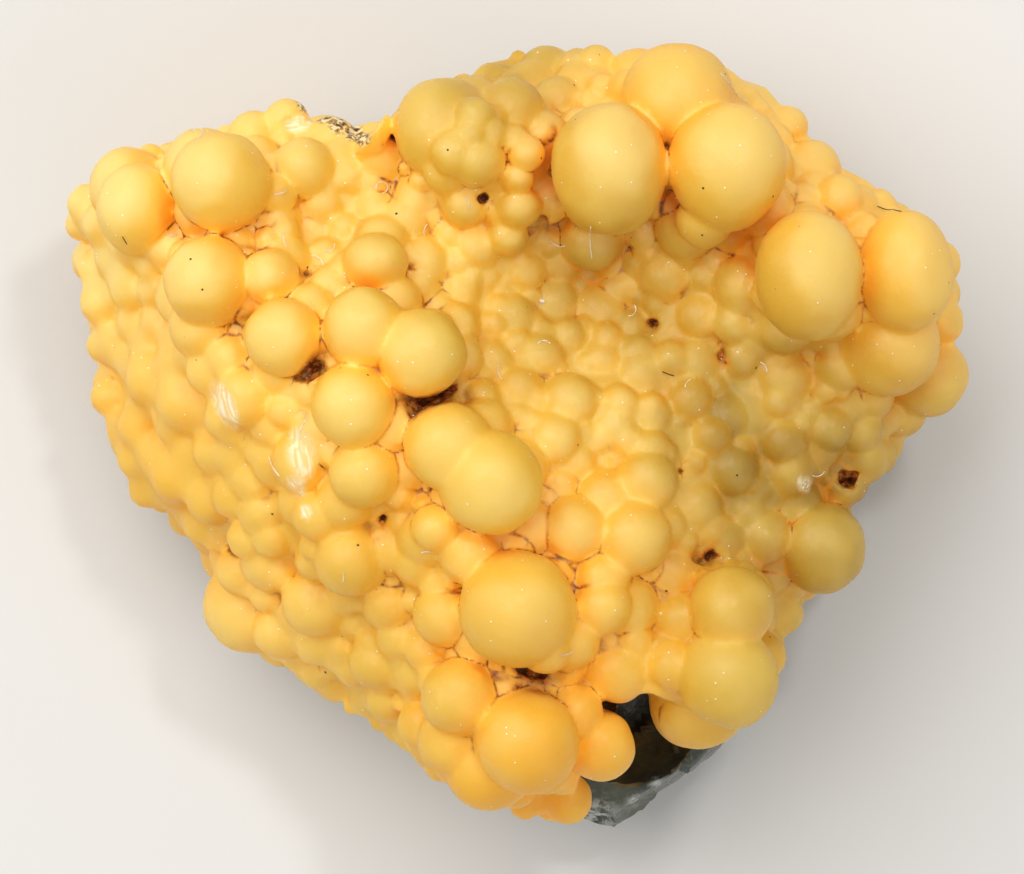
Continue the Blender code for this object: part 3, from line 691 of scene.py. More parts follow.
def oval_closeness(places, oval, margin=0.0):
    """How far places of the plan are from the middle of an oval, where 1 is its edge."""
    x, y, half_length, half_width, turn = oval
    along = (places - (x, y)) @ np.array(Matrix.Rotation(math.radians(turn), 2))
    return np.linalg.norm(along / (half_length + margin, half_width + margin), axis=-1)


def ground_at(x, y):
    """The point of the ground that shows at a point of the plan."""
    height = SIDE_TOP
    for _ in range(GROUND_STEPS):
        arm = np.array((x, y, height)) - HEART
        length = np.linalg.norm(arm)
        height += ground_reach(arm[None, :] / length)[0] - length
    return np.array((x, y, height))


def pit_shape(x, y, half_length, half_width, turn):
    """The space of one pit, with a ragged edge, which narrows down into the ground."""
    shape = bmesh.new()
    bmesh.ops.create_icosphere(shape, subdivisions=LARGE_LEVEL, radius=1.0)
    for vertex in shape.verts:
        ragged = noise.fractal(vertex.co * 1.9 + Vector((x, y, 0.0)), 0.7, 2.0, 3)
        vertex.co *= 1.0 + 0.6 * ragged
    place = Matrix.Translation(ground_at(x, y) + np.array((0.0, 0.0, PIT_RAISED)))
    size = Matrix.Diagonal((half_length, half_width * PIT_NARROW, PIT_RAISED + PIT_DEPTH, 1.0))
    turned = Matrix.Rotation(math.radians(turn), 4, "Z")
    bmesh.ops.transform(shape, matrix=place @ turned @ size, verts=shape.verts[:])
    return shape


def ledge_shape(outward):
    """The piece of rock below the crust, with each corner moved out by the given distance."""
    corners = [Vector(corner) for corner in LEDGE]
    middle = sum(corners, Vector()) / len(corners)
    return hull_shape([at + (at - middle).normalized() * outward * HULL_SLANT for at in corners])


def mouth_shape():
    """The space over the ledge that the ground of the crust leaves open."""
    return hull_shape([(x, y, z) for x, y in MOUTH for z in (MOUTH_FLOOR, MOUTH_TOP)])


def hollow_shape():
    """The hollow in the rock below the mouth."""
    shape = bmesh.new()
    place = Matrix.Translation(HOLLOW) @ Matrix.Diagonal((*HOLLOW_SIZE, 1.0))
    bmesh.ops.create_icosphere(shape, subdivisions=LARGE_LEVEL, radius=1.0, matrix=place)
    return shape


def chip_rock(rock):
    """Breaks the skin of the rock into slanting facets, all of them inward, and keeps its rest flat."""
    points, normals = points_of(rock.data), normals_of(rock.data)
    for number in np.nonzero(points[:, 2] > 2 * FLAT_HEIGHT)[0]:
        point = Vector(points[number])
        cell = noise.voronoi(point / FACET_WIDTH)[1][0] * FACET_WIDTH
        lean = noise.noise_vector(cell * 7.3).normalized()
        inward = FACET_DEPTH / 2 + (point - cell).dot(lean) * FACET_SLOPE
        inward += noise.fractal(point * 0.9, 0.9, 2.0, 3) * FACET_DEPTH / 3
        points[number] -= normals[number] * min(max(inward, 0.0), FACET_DEPTH)
    points[:, 2] = np.where(points[:, 2] < FLAT_HEIGHT, 0.0, points[:, 2])
    move_points(rock, points)


def mark_rock(rock):
    """Stores where the rock is smoky brown, where the hollow gets painted shade, and where it is frosted."""
    points = points_of(rock.data)
    away = np.linalg.norm((points - HOLLOW) / HOLLOW_SIZE, axis=1)
    smoke = np.clip(1.0 - (away - 1.0) / 0.12, 0, 1)
    smoke = np.maximum(smoke, np.clip((points[:, 2] - SMOKE_HEIGHT) / 1.5, 0, 1))
    store(rock.data, "smoke", smoke)
    # Painted shade for the inner part of the hollow.
    inner = (points[:, 0] - points[:, 1] - DARK_FROM) / DARK_FADE
    store(rock.data, "shade", np.clip(1.0 - inner, 0, 1))
    chips = [soft_spot(points, x, y, radius) for x, y, radius in FROSTED]
    store(rock.data, "frost", np.maximum(np.max(chips, axis=0), FROST_LEAST))


def room_to_outline(x, y):
    """How far a point of the plan is inside the outline of the displayed face."""
    turns = np.array([math.atan2(py, px) for px, py in OUTLINE])
    reach = np.array([math.hypot(px, py) for px, py in OUTLINE])
    order = np.argsort(turns)
    there = np.interp(math.atan2(y, x), turns[order], reach[order], period=math.tau)
    return there - math.hypot(x, y)


def side_globes():
    """Globes over the sides of the crust, placed at random where no other globe is."""
    rng = random.Random(SIDE_SEED)
    middles = [globe_middle(globe) for globe in SHOWN_GLOBES]
    radii = [globe[3] for globe in SHOWN_GLOBES]
    found = []
    turns = [rng.uniform(0, math.tau) for _ in range(SIDE_TRIES)]
    rises = [rng.uniform(SIDE_RISE_LOW, SIDE_RISE_HIGH) for _ in range(SIDE_TRIES)]
    sizes = [rng.uniform(SIDE_RADIUS_LOW, SIDE_RADIUS_HIGH) for _ in range(SIDE_TRIES)]
    flat = [math.sqrt(1 - rise * rise) for rise in rises]
    directions = np.array(
        [(math.cos(t) * f, math.sin(t) * f, z) for t, f, z in zip(turns, flat, rises)]
    )
    reach = ground_reach(directions)
    for direction, length, size in zip(directions, reach, sizes):
        middle = HEART + direction * (length - size * SIDE_SUNK_SHARE)
        room = room_to_outline(*middle[:2])
        if not SIDE_BOTTOM < middle[2] < SIDE_TOP or not size < room < SIDE_WIDTH:
            continue
        away = np.linalg.norm(np.array(middles) - middle, axis=1)
        if (away < (np.array(radii) + size) * SIDE_SPACING).any():
            continue
        middles.append(middle)
        radii.append(size)
        found.append((middle, size, 1.0))
    return found


def ground_spots(rng, number):
    """Directions at random over the crust, and how far the ground is along each."""
    turns = np.array([rng.uniform(0, math.tau) for _ in range(number)])
    rises = np.array([math.sqrt(rng.uniform(FILL_RISE_LOW**2, 1.0)) for _ in range(number)])
    flat = np.sqrt(1 - rises**2)
    directions = np.stack([np.cos(turns) * flat, np.sin(turns) * flat, rises], axis=1)
    return directions, ground_reach(directions)


def fill_globes(globes):
    """Small globules over what the larger globes leave bare, in a coarse and a fine pass."""
    rng = random.Random(FILL_SEED)
    large = np.array([(*globe[0], globe[1]) for globe in globes])
    found = []
    for first, last, spacing, sunk_high, sunk_low in FILL_PASSES:
        here = np.zeros((FILL_TRIES, 4))
        known = 0
        directions, reach = ground_spots(rng, FILL_TRIES)
        for number, (direction, length) in enumerate(zip(directions, reach)):
            size = first + (last - first) * (number / FILL_TRIES) ** FILL_FADE
            size *= rng.uniform(1.0 - FILL_SPREAD, 1.0 + FILL_SPREAD)
            middle = HEART + direction * (length - size * rng.uniform(sunk_low, sunk_high))
            if middle[2] < SIDE_BOTTOM or room_to_outline(*middle[:2]) < size:
                continue
            if over_a_pit(*middle[:2], FILL_PIT_MARGIN * size):
                continue
            away = np.linalg.norm(large[:, :3] - middle, axis=1)
            if (away < large[:, 3] * FILL_CLEAR).any():
                continue
            away = np.linalg.norm(here[:known, :3] - middle, axis=1)
            if (away < (here[:known, 3] + size) * spacing).any():
                continue
            here[known] = (*middle, size)
            known += 1
        found += [(spot[:3], spot[3], 1.0) for spot in here[:known]]
    return found


def shown_globes():
    """The listed globes, as centre, radius and stretch along Y."""
    return [
        (globe_middle(globe), globe[3], globe[4] if len(globe) > 4 else 1.0)
        for globe in SHOWN_GLOBES
    ]


def globe_level(radius):
    """How finely a globe of this radius is divided."""
    if radius >= LARGE_RADIUS:
        return LARGE_LEVEL
    return MIDDLE_LEVEL if radius >= MIDDLE_RADIUS else SMALL_LEVEL


def globe_shape(middle, radius, stretch, number):
    """One globe, a little out of round, turned its own way."""
    shape = bmesh.new()
    bmesh.ops.create_icosphere(shape, subdivisions=globe_level(radius), radius=1.0)
    turn = Matrix.Rotation(number * TURN_Z, 4, "Z") @ Matrix.Rotation(number * TURN_X, 4, "X")
    away = Vector((number * 3.1, number * 1.3, 0.0))
    for vertex in shape.verts:
        lump = noise.noise(vertex.co * 1.1 + away) * 0.06 + noise.noise(vertex.co * 3.0 + away) * 0.02
        vertex.co *= 1.0 + lump
    size = Matrix.Diagonal((radius, radius * stretch, radius, 1.0))
    place = Matrix.Translation(middle) @ size @ turn
    bmesh.ops.transform(shape, matrix=place, verts=shape.verts[:])
    return shape


def globe_things(globes, first):
    """Objects of some globes, numbered from the first."""
    return [
        link(f"globe_{number}", globe_shape(*globe, number))
        for number, globe in enumerate(globes, first)
    ]


def link(name, shape):
    """An object made of a shape, in metres and in its place."""
    bmesh.ops.transform(shape, matrix=Matrix.Scale(MM, 4), verts=shape.verts[:])
    bmesh.ops.triangulate(shape, faces=shape.faces[:])
    mesh = bpy.data.meshes.new(name)
    shape.to_mesh(mesh)
    shape.free()
    thing = bpy.data.objects.new(name, mesh)
    bpy.context.scene.collection.objects.link(thing)
    return thing


def combine(thing, operation, others):
    """Joins others to a thing, or cuts them out of it, and takes them out of the scene."""
    group = bpy.data.collections.new("operands")
    bpy.context.scene.collection.children.link(group)
    for other in others:
        group.objects.link(other)
    step = thing.modifiers.new(operation.lower(), "BOOLEAN")
    step.operation = operation
    step.operand_type = "COLLECTION"
    step.collection = group
    step.solver = "MANIFOLD"
    apply_step(thing)
    for other in others:
        bpy.data.objects.remove(other)
    bpy.data.collections.remove(group)


def apply_step(thing):
    """Makes the result of a thing's modifiers its mesh."""
    graph = bpy.context.evaluated_depsgraph_get()
    mesh = bpy.data.meshes.new_from_object(thing.evaluated_get(graph))
    thing.modifiers.clear()
    thing.data = mesh


def fuse(thing, voxel):
    """Grows the globes of a thing together where they meet, by remeshing it evenly."""
    step = thing.modifiers.new("fuse", "REMESH")
    step.mode = "VOXEL"
    step.voxel_size = voxel * MM
    soften = thing.modifiers.new("soften", "SMOOTH")
    soften.factor = 0.5
    soften.iterations = SOFTEN_TIMES
    apply_step(thing)


def simplify(thing, faces):
    """Reduces a thing to about the given number of faces, where they matter least."""
    step = thing.modifiers.new("simplify", "DECIMATE")
    step.ratio = min(1.0, faces / sum(len(face.vertices) - 2 for face in thing.data.polygons))
    step.use_collapse_triangulate = True
    apply_step(thing)


def keep_outer_skin(thing):
    """Keeps the largest closed skin of a thing, so that no bubble is left inside."""
    shape = bmesh.new()
    shape.from_mesh(thing.data)
    left = set(shape.verts)
    skins = []
    while left:
        start = left.pop()
        skin, edge = {start}, [start]
        while edge:
            for link_edge in edge.pop().link_edges:
                for vertex in link_edge.verts:
                    if vertex in left:
                        left.remove(vertex)
                        skin.add(vertex)
                        edge.append(vertex)
        skins.append(skin)
    skins.sort(key=len)
    for skin in skins[:-1]:
        bmesh.ops.delete(shape, geom=list(skin), context="VERTS")
    shape.to_mesh(thing.data)
    shape.free()


def store(mesh, name, values):
    """Keeps one number for each point of a mesh, for its material to read."""
    layer = mesh.attributes.new(name, "FLOAT", "POINT")
    layer.data.foreach_set("value", np.asarray(values, np.float32))


def points_of(mesh):
    flat = np.zeros(len(mesh.vertices) * 3, np.float32)
    mesh.vertices.foreach_get("co", flat)
    return flat.reshape(-1, 3) / MM


def normals_of(mesh):
    flat = np.zeros(len(mesh.vertices) * 3, np.float32)
    mesh.vertex_normals.foreach_get("vector", flat)
    return flat.reshape(-1, 3)


def move_points(thing, points):
    thing.data.vertices.foreach_set("co", (points * MM).astype(np.float32).ravel())
    thing.data.update()


def blurred(mesh, values, times, share=1.0):
    """Numbers of a mesh's points, each mixed with those around it the given number of times."""
    edges = np.zeros(len(mesh.edges) * 2, np.int32)
    mesh.edges.foreach_get("vertices", edges)
    first, second = edges.reshape(-1, 2).T
    total = len(values)
    number = np.maximum(np.bincount(edges, minlength=total), 1)
    for _ in range(times):
        around = np.bincount(first, values[second], total) + np.bincount(second, values[first], total)
        values = values + (around / number - values) * share
    return values


def openness(mesh, reach, rays):
    """How much of the sky each point sees within reach, from 0 in a deep crease to 1, smoothed."""
    points, normals = points_of(mesh), normals_of(mesh)
    tree = BVHTree.FromPolygons(
        [tuple(point) for point in points], [tuple(face.vertices) for face in mesh.polygons]
    )
    rng = np.random.default_rng(3)
    seen = np.zeros(len(points))
    for _ in range(rays):
        aim = rng.normal(size=(len(points), 3))
        aim /= np.linalg.norm(aim, axis=1)[:, None]
        aim = aim + normals
        aim /= np.maximum(np.linalg.norm(aim, axis=1)[:, None], 1e-6)
        start = points + normals * 0.02
        for number in range(len(points)):
            if tree.ray_cast(start[number], aim[number], reach)[0] is None:
                seen[number] += 1
    return blurred(mesh, seen / rays, SHADE_TIMES, 0.8)


def globe_marks(points, globes):
    """For each point, the globe that it lies on, and how far it is from the skin of the next one."""
    middles = np.array([globe[0] for globe in globes], np.float32)
    radii = np.array([globe[1] for globe in globes], np.float32)
    owner = np.zeros(len(points), int)
    apart = np.zeros(len(points))
    for some in np.array_split(np.arange(len(points)), max(1, len(points) // 2000)):
        away = np.linalg.norm(points[some, None, :] - middles[None], axis=2) - radii
        owner[some] = away.argmin(axis=1)
        nearest = np.partition(away, 1, axis=1)
        apart[some] = nearest[:, 1] - nearest[:, 0]
    return owner, apart


def soft_spot(points, x, y, radius):
    """A soft round spot of the plan, 1 in its middle."""
    away = np.hypot(points[:, 0] - x, points[:, 1] - y)
    return np.exp(-((away / radius) ** 2))


def soften_flank(crust, globes, owner):
    """Smooths the low lobes of the left flank until they have nearly run together."""
    points = points_of(crust.data)
    small = np.array([globe[1] for globe in globes])[owner] < FLANK_GLOBE
    share = np.max([soft_spot(points, *spot) for spot in FLANK_SPOTS], axis=0) * small
    share = blurred(crust.data, share, 2)
    columns = [blurred(crust.data, column, FLANK_TIMES, share) for column in points.T]
    move_points(crust, np.stack(columns, axis=1))


def break_globes(crust):
    """Flattens the broken globes to rough fibrous breaks, and marks the fibres."""
    points = points_of(crust.data)
    broken, fibres = np.zeros(len(points)), np.zeros_like(points)
    for x, y, half_length, half_width, turn, facing, depth, white in FRACTURES:
        facing = np.array(Vector(facing).normalized())
        away = oval_closeness(points[:, :2], (x, y, half_length, half_width, turn))
        near = (away < 1.0) & (points[:, 2] > FRACTURE_FLOOR)
        share = np.clip((1.0 - away) / 0.35, 0, 1)
        fibre = np.array((math.cos(math.radians(turn)), math.sin(math.radians(turn)), 0.0))
        across = points - np.outer(points @ fibre, fibre) * FIBRE_STRETCH
        along = points @ facing
        level = along[near].max() - depth
        for number in np.nonzero(near & (along > level))[0]:
            ridge = noise.noise(Vector(across[number]) * 4.0) * 0.3
            points[number] -= facing * (along[number] - level) * (0.85 + ridge) * share[number]
        broken[near] = (share * white)[near]
        fibres[near] = across[near]
    move_points(crust, points)
    store(crust.data, "broken", broken)
    layer = crust.data.attributes.new("fibres", "FLOAT_VECTOR", "POINT")
    layer.data.foreach_set("vector", fibres.astype(np.float32).ravel())


def mark_crust(crust, globes, owner, apart):
    """Stores what the crust's material reads at each of its points."""
    points = points_of(crust.data)
    rng = np.random.default_rng(5)
    store(crust.data, "tint", rng.uniform(size=len(globes))[owner])
    store(crust.data, "crease", np.clip(1.0 - apart / CREASE_WIDTH, 0, 1))
    outward = points - HEART
    outward /= np.linalg.norm(outward, axis=1)[:, None]
    store(crust.data, "rise", (outward * normals_of(crust.data)).sum(axis=1))
    total = np.full(len(points), ZONE_BASE)
    shares = np.zeros((3, len(points)))
    for x, y, radius, *amounts in ZONES:
        spot = soft_spot(points, x, y, radius)
        shares += np.outer(amounts, spot)
        total += spot
    # Shares of orange and khaki colour, and of painted light on the outward tops.
    for name, share in zip(("orange", "khaki", "painted_light"), shares / total):
        store(crust.data, name, share)
    near_pit = np.min([oval_closeness(points[:, :2], pit) for pit in PITS], axis=0)
    store(crust.data, "pit", np.clip(2.0 - near_pit, 0, 1))
    grit = np.max([soft_spot(points, *spot) for spot in GRIT_SPOTS], axis=0)
    store(crust.data, "grit", grit * np.clip(points[:, 2] - GRIT_FLOOR, 0, 1))
    store(crust.data, "open", openness(crust.data, SHADE_REACH, SHADE_RAYS))


def lint_path(tree, x, y, heading, length, curl):
    """The points of one fibre that lies on the globes and bridges the creases between them."""
    steps = max(4, round(length / LINT_STEP))
    turns = np.radians(heading + curl * np.arange(steps) / steps)
    plan = np.array((x, y)) + np.cumsum(np.stack([np.cos(turns), np.sin(turns)], axis=1), axis=0) * length / steps
    down = Vector((0.0, 0.0, -1.0))
    heights = [tree.ray_cast(Vector((*spot, 40.0)), down)[0].z for spot in plan]
    for _ in range(3):
        middle = (np.array(heights[:-2]) + np.array(heights[2:])) / 2
        heights[1:-1] = np.maximum(heights[1:-1], middle)
    return [Vector((*spot, height + LINT_LIFT)) for spot, height in zip(plan, heights)]


def add_strand(shape, path, radius, layer, dark):
    """Adds a thin round strand along a path, closed at both ends."""
    rings = []
    for number, point in enumerate(path):
        along = (path[min(number + 1, len(path) - 1)] - path[max(number - 1, 0)]).normalized()
        across = along.cross(Vector((0.0, 0.0, 1.0))).normalized()
        above = across.cross(along)
        ring = []
        for side in range(LINT_SIDES):
            turn = math.tau * side / LINT_SIDES
            ring.append(shape.verts.new(point + (across * math.cos(turn) + above * math.sin(turn)) * radius))
            ring[-1][layer] = dark
        rings.append(ring)
    for first, second in zip(rings, rings[1:]):
        for side in range(LINT_SIDES):
            beside = (side + 1) % LINT_SIDES
            shape.faces.new((first[side], first[beside], second[beside], second[side]))
    shape.faces.new(rings[0])
    shape.faces.new(rings[-1])


def shade_smooth(thing, angle):
    thing.data.shade_smooth()
    thing.data.set_sharp_from_angle(angle=angle)


class Look:
    """Short ways to add and join the nodes of one material."""

    def __init__(self, name):
        self.material = bpy.data.materials.new(name)
        self.material.use_nodes = True
        self.tree = self.material.node_tree
        self.shader = self.tree.nodes["Principled BSDF"]

    def node(self, kind, **settings):
        made = self.tree.nodes.new(kind)
        for name, value in settings.items():
            setattr(made, name, value)
        return made

    def join(self, start, end):
        self.tree.links.new(start, end)

    def value(self, name):
        return self.node("ShaderNodeAttribute", attribute_name=name).outputs["Fac"]

    def place(self):
        return self.node("ShaderNodeTexCoord").outputs["Object"]

    def grain(self, scale, detail=2.0, roughness=0.5):
        made = self.node("ShaderNodeTexNoise")
        made.inputs["Scale"].default_value = scale
        made.inputs["Detail"].default_value = detail
        made.inputs["Roughness"].default_value = roughness
        self.join(self.place(), made.inputs["Vector"])
        return made.outputs["Fac"]

    def cells(self, scale):
        made = self.node("ShaderNodeTexVoronoi")
        made.inputs["Scale"].default_value = scale
        self.join(self.place(), made.inputs["Vector"])
        return made.outputs

    def apart(self, colour):
        made = self.node("ShaderNodeSeparateColor")
        self.join(colour, made.inputs["Color"])
        return made.outputs

    def sum(self, kind, *values):
        made = self.node("ShaderNodeMath", operation=kind)
        for slot, value in zip(made.inputs, values):
            if isinstance(value, (int, float)):
                slot.default_value = value
            else:
                self.join(value, slot)
        return made.outputs[0]

    def band(self, value, low, high, out_low=0.0, out_high=1.0):
        made = self.node("ShaderNodeMapRange", interpolation_type="SMOOTHSTEP")
        self.join(value, made.inputs["Value"])
        for name, number in (
            ("From Min", low), ("From Max", high), ("To Min", out_low), ("To Max", out_high)
        ):
            made.inputs[name].default_value = number
        return made.outputs["Result"]

    def mix(self, share, first, second):
        made = self.node("ShaderNodeMix", data_type="RGBA")
        for slot, value in zip((made.inputs[0], made.inputs[6], made.inputs[7]), (share, first, second)):
            if isinstance(value, (int, float)):
                slot.default_value = value
            elif isinstance(value, tuple):
                slot.default_value = (*value, 1.0)
            else:
                self.join(value, slot)
        return made.outputs[2]

    def bump(self, height, distance, strength=1.0, before=None):
        made = self.node("ShaderNodeBump")
        made.inputs["Strength"].default_value = strength
        made.inputs["Distance"].default_value = distance
        self.join(height, made.inputs["Height"])
        if before is not None:
            self.join(before, made.inputs["Normal"])
        return made.outputs["Normal"]


def mimetite_look(settings):
    """Waxy, sugary yellow mimetite, with painted light that makes the globes' outward tops paler, and rust and
    painted shade where the crust sees little sky.
    """
    look = Look("mimetite")
    shader = look.shader
    deep = look.value("open")
    colour = look.mix(look.value("orange"), tuple(settings.yellow), tuple(settings.orange))
    colour = look.mix(look.value("khaki"), colour, tuple(settings.khaki))
    colour = look.mix(look.band(look.value("tint"), 0.0, 1.0, 0.0, 0.25), colour, (0.9, 0.45, 0.03))
    patches = look.grain(420, 1.0, 0.55)
    sugar = look.grain(3400, 1.0, 0.72)
    colour = look.mix(look.band(patches, 0.35, 0.7, 0.0, 0.25), colour, (0.93, 0.68, 0.15))
    # Painted light: the tops that face outward are painted a paler cream, most in the zones with painted light.
    top = look.sum("MULTIPLY", look.band(look.value("rise"), 0.5, 1.0), look.value("painted_light"))
    colour = look.mix(top, colour, tuple(settings.painted_light_colour))
    # Painted shade: creases between globes and places that see little sky are painted a deeper orange.
    crease = look.sum("MULTIPLY", look.band(look.value("crease"), 0.3, 0.9), look.band(deep, 0.8, 0.35, 0.0, 0.8))
    crease = look.sum("MAXIMUM", crease, look.band(deep, 0.55, 0.1, 0.0, 0.8))
    colour = look.mix(crease, colour, (0.78, 0.3, 0.015))
    # Painted shadow: dark rust lines along the tightest contacts between globes.
    painted_seam_shadow = look.sum("MULTIPLY", look.band(look.value("crease"), 0.6, 0.95), look.band(patches, 0.42, 0.55))
    painted_seam_shadow = look.sum("MULTIPLY", painted_seam_shadow, look.band(deep, 0.74, 0.44))
    rust_and_shade = look.mix(look.band(sugar, 0.42, 0.6), (0.16, 0.05, 0.012), (0.62, 0.18, 0.02))
    # Rust in the pits where they lie in shade, and painted shade in the same rust colours where the crust sees
    # almost no sky and along the seams.
    pit = look.sum("MULTIPLY", look.value("pit"), look.band(deep, 0.55, 0.25))
    pit = look.sum("MAXIMUM", pit, look.band(deep, 0.14, 0.04))
    pit = look.sum("MAXIMUM", pit, painted_seam_shadow)
    colour = look.mix(pit, colour, rust_and_shade)
    kind = look.grain(5200, 0.0)
    grit = look.mix(look.band(kind, 0.5, 0.56), (0.42, 0.22, 0.05), (0.9, 0.76, 0.42))
    grit = look.mix(look.band(kind, 0.36, 0.32), grit, (0.03, 0.018, 0.01))
    gritty = look.band(look.value("grit"), 0.35, 0.8)
    colour = look.mix(gritty, colour, grit)
    fibre = look.node("ShaderNodeTexNoise")
    fibre.inputs["Scale"].default_value = 4.5
    fibre.inputs["Detail"].default_value = 1.0
    lines = look.node("ShaderNodeAttribute", attribute_name="fibres")
    look.join(lines.outputs["Vector"], fibre.inputs["Vector"])
    white_break_and_highlight = look.band(fibre.outputs["Fac"], 0.42, 0.62, 0.3, 1.0)
    white_break_and_highlight = look.sum("MULTIPLY", look.value("broken"), white_break_and_highlight)
    # White fibrous breaks, and one painted highlight that is laid out as a break.
    colour = look.mix(white_break_and_highlight, colour, (1.0, 0.93, 0.66))
    # Painted glints: a share of the crystal cells gets a tiny near-white dot.
    spot = look.cells(2600)
    kinds = look.apart(spot["Color"])
    sparkle = look.sum("GREATER_THAN", kinds[0], settings.sparkle)
    sparkle = look.sum("MULTIPLY", sparkle, look.band(spot["Distance"], 0.13, 0.08))
    colour = look.mix(sparkle, colour, (1.0, 1.0, 0.94))
    dirt = look.sum("GREATER_THAN", kinds[1], settings.clean)
    dirt = look.sum("MULTIPLY", dirt, look.band(spot["Distance"], 0.2, 0.14))
    colour = look.mix(dirt, colour, (0.03, 0.018, 0.01))
    look.join(colour, shader.inputs["Base Color"])
    marks = look.sum("MAXIMUM", look.sum("MAXIMUM", sparkle, dirt), look.sum("MULTIPLY", white_break_and_highlight, 0.8))
    marks = look.sum("MAXIMUM", marks, look.sum("MAXIMUM", pit, gritty))
    glow = look.sum("MULTIPLY", look.sum("SUBTRACT", 1.0, marks), settings.glow)
    look.join(glow, shader.inputs["Subsurface Weight"])
    look.join(look.bump(sugar, 0.00006, settings.sugar), shader.inputs["Normal"])
    look.join(look.band(sugar, 0.3, 0.7, 0.38, 0.58), shader.inputs["Roughness"])
    shader.inputs["IOR"].default_value = 1.5
    shader.subsurface_method = "BURLEY"
    shader.inputs["Subsurface Radius"].default_value = (1.0, 0.5, 0.14)
    shader.inputs["Subsurface Scale"].default_value = 0.0024
    return look.material


def lint_look():
    """Pale, thin lint, and hairs that are dark."""
    look = Look("lint")
    shade = look.mix(look.band(look.grain(4000), 0.35, 0.65), (0.75, 0.66, 0.48), (0.95, 0.92, 0.84))
    colour = look.mix(look.value("dark"), shade, (0.05, 0.03, 0.015))
    look.join(colour, look.shader.inputs["Base Color"])
    look.shader.inputs["Roughness"].default_value = 0.45
    return look.material


def quartz_look(settings):
    """Quartz, smoky brown in the hollow with painted shade deepest inside, clear grey at its rim, and frosted
    where it is chipped.
    """
    look = Look("quartz")
    shader = look.shader
    shader.subsurface_method = "BURLEY"
    veils = look.grain(300, 3.0, 0.65)
    colour = look.mix(look.band(veils, 0.35, 0.7), tuple(settings.quartz), (0.1, 0.11, 0.08))
    olive = look.mix(look.band(veils, 0.4, 0.65), (0.1, 0.045, 0.003), (0.34, 0.19, 0.015))
    # Painted shade: the inner part of the hollow is painted near black.
    smoke = look.mix(look.value("shade"), olive, (0.022, 0.006, 0.001))
    colour = look.mix(look.value("smoke"), colour, smoke)
    frost = look.sum("MULTIPLY", look.value("frost"), look.band(look.grain(1500, 3.0, 0.7), 0.4, 0.6))
    colour = look.mix(frost, colour, (0.6, 0.64, 0.6))
    look.join(colour, shader.inputs["Base Color"])
    height = look.sum("ADD", look.grain(1100, 3.0, 0.7), look.sum("MULTIPLY", frost, 0.6))
    look.join(look.bump(height, 0.00025, 0.6), shader.inputs["Normal"])
    look.join(look.band(frost, 0.0, 1.0, 0.16, 0.5), shader.inputs["Roughness"])
    shader.inputs["IOR"].default_value = 1.54
    shader.inputs["Specular IOR Level"].default_value = 0.25
    shader.inputs["Subsurface Weight"].default_value = 0.3
    shader.inputs["Subsurface Radius"].default_value = (0.9, 1.0, 1.0)
    shader.inputs["Subsurface Scale"].default_value = 0.0012
    return look.material


def finished(thing, look, node=None):
    """Hands a piece over to the frame, in place of its solid if it has one."""
    thing.data.materials.clear()
    thing.data.materials.append(look)
    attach(thing, "root")
    if node:
        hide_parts(node)


class MimetiteSettings(bpy.types.PropertyGroup):
    """Colours and finish of the specimen."""

    yellow: bpy.props.FloatVectorProperty(
        name="Yellow", description="Colour of the plain globes", subtype="COLOR",
        default=(0.95, 0.6, 0.07), min=0, max=1,
    )
    orange: bpy.props.FloatVectorProperty(
        name="Orange", description="Colour of the warmer globes", subtype="COLOR",
        default=(0.93, 0.44, 0.025), min=0, max=1,
    )
    # The colour of the painted light on the globes' outward tops.
    painted_light_colour: bpy.props.FloatVectorProperty(
        name="Cream", description="Colour of the palest tops", subtype="COLOR",
        default=(1.0, 0.77, 0.26), min=0, max=1,
    )
    khaki: bpy.props.FloatVectorProperty(
        name="Khaki", description="Colour of the dull globules in the hollow", subtype="COLOR",
        default=(0.36, 0.22, 0.026), min=0, max=1,
    )
    quartz: bpy.props.FloatVectorProperty(
        name="Quartz", description="Colour of the clearer quartz", subtype="COLOR",
        default=(0.045, 0.055, 0.05), min=0, max=1,
    )
    glow: bpy.props.FloatProperty(
        name="Glow", description="How much light passes under the surface", default=0.92, min=0, max=1,
    )
    sugar: bpy.props.FloatProperty(
        name="Sugar", description="Strength of the fine crystal grain", default=0.5, min=0, max=2,
    )
    # The share of the crystal cells without a painted glint.
    sparkle: bpy.props.FloatProperty(
        name="Sparkle", description="Share of the crystals that don't sparkle", default=0.87, min=0, max=1,
    )
    clean: bpy.props.FloatProperty(
        name="Clean", description="Share of the surface without dark specks", default=0.992, min=0, max=1,
    )


class StudioSettings(bpy.types.PropertyGroup):
    """Camera and lights."""

    eye_height: bpy.props.FloatProperty(
        name="Eye height", description="Height of the camera over the floor", unit="LENGTH",
        default=0.468, min=0.1,
    )
    key_watts: bpy.props.FloatProperty(
        name="Key", description="Power of the large light at the upper left", default=2.65, min=0,
    )
    fill_watts: bpy.props.FloatProperty(
        name="Fill", description="Power of the light at the right", default=0.6, min=0,
    )
    spark_watts: bpy.props.FloatProperty(
        name="Spark", description="Power of the small high light", default=0.35, min=0,
    )
    sky: bpy.props.FloatProperty(
        name="Sky", description="Brightness of the light from all round", default=0.4, min=0,
    )


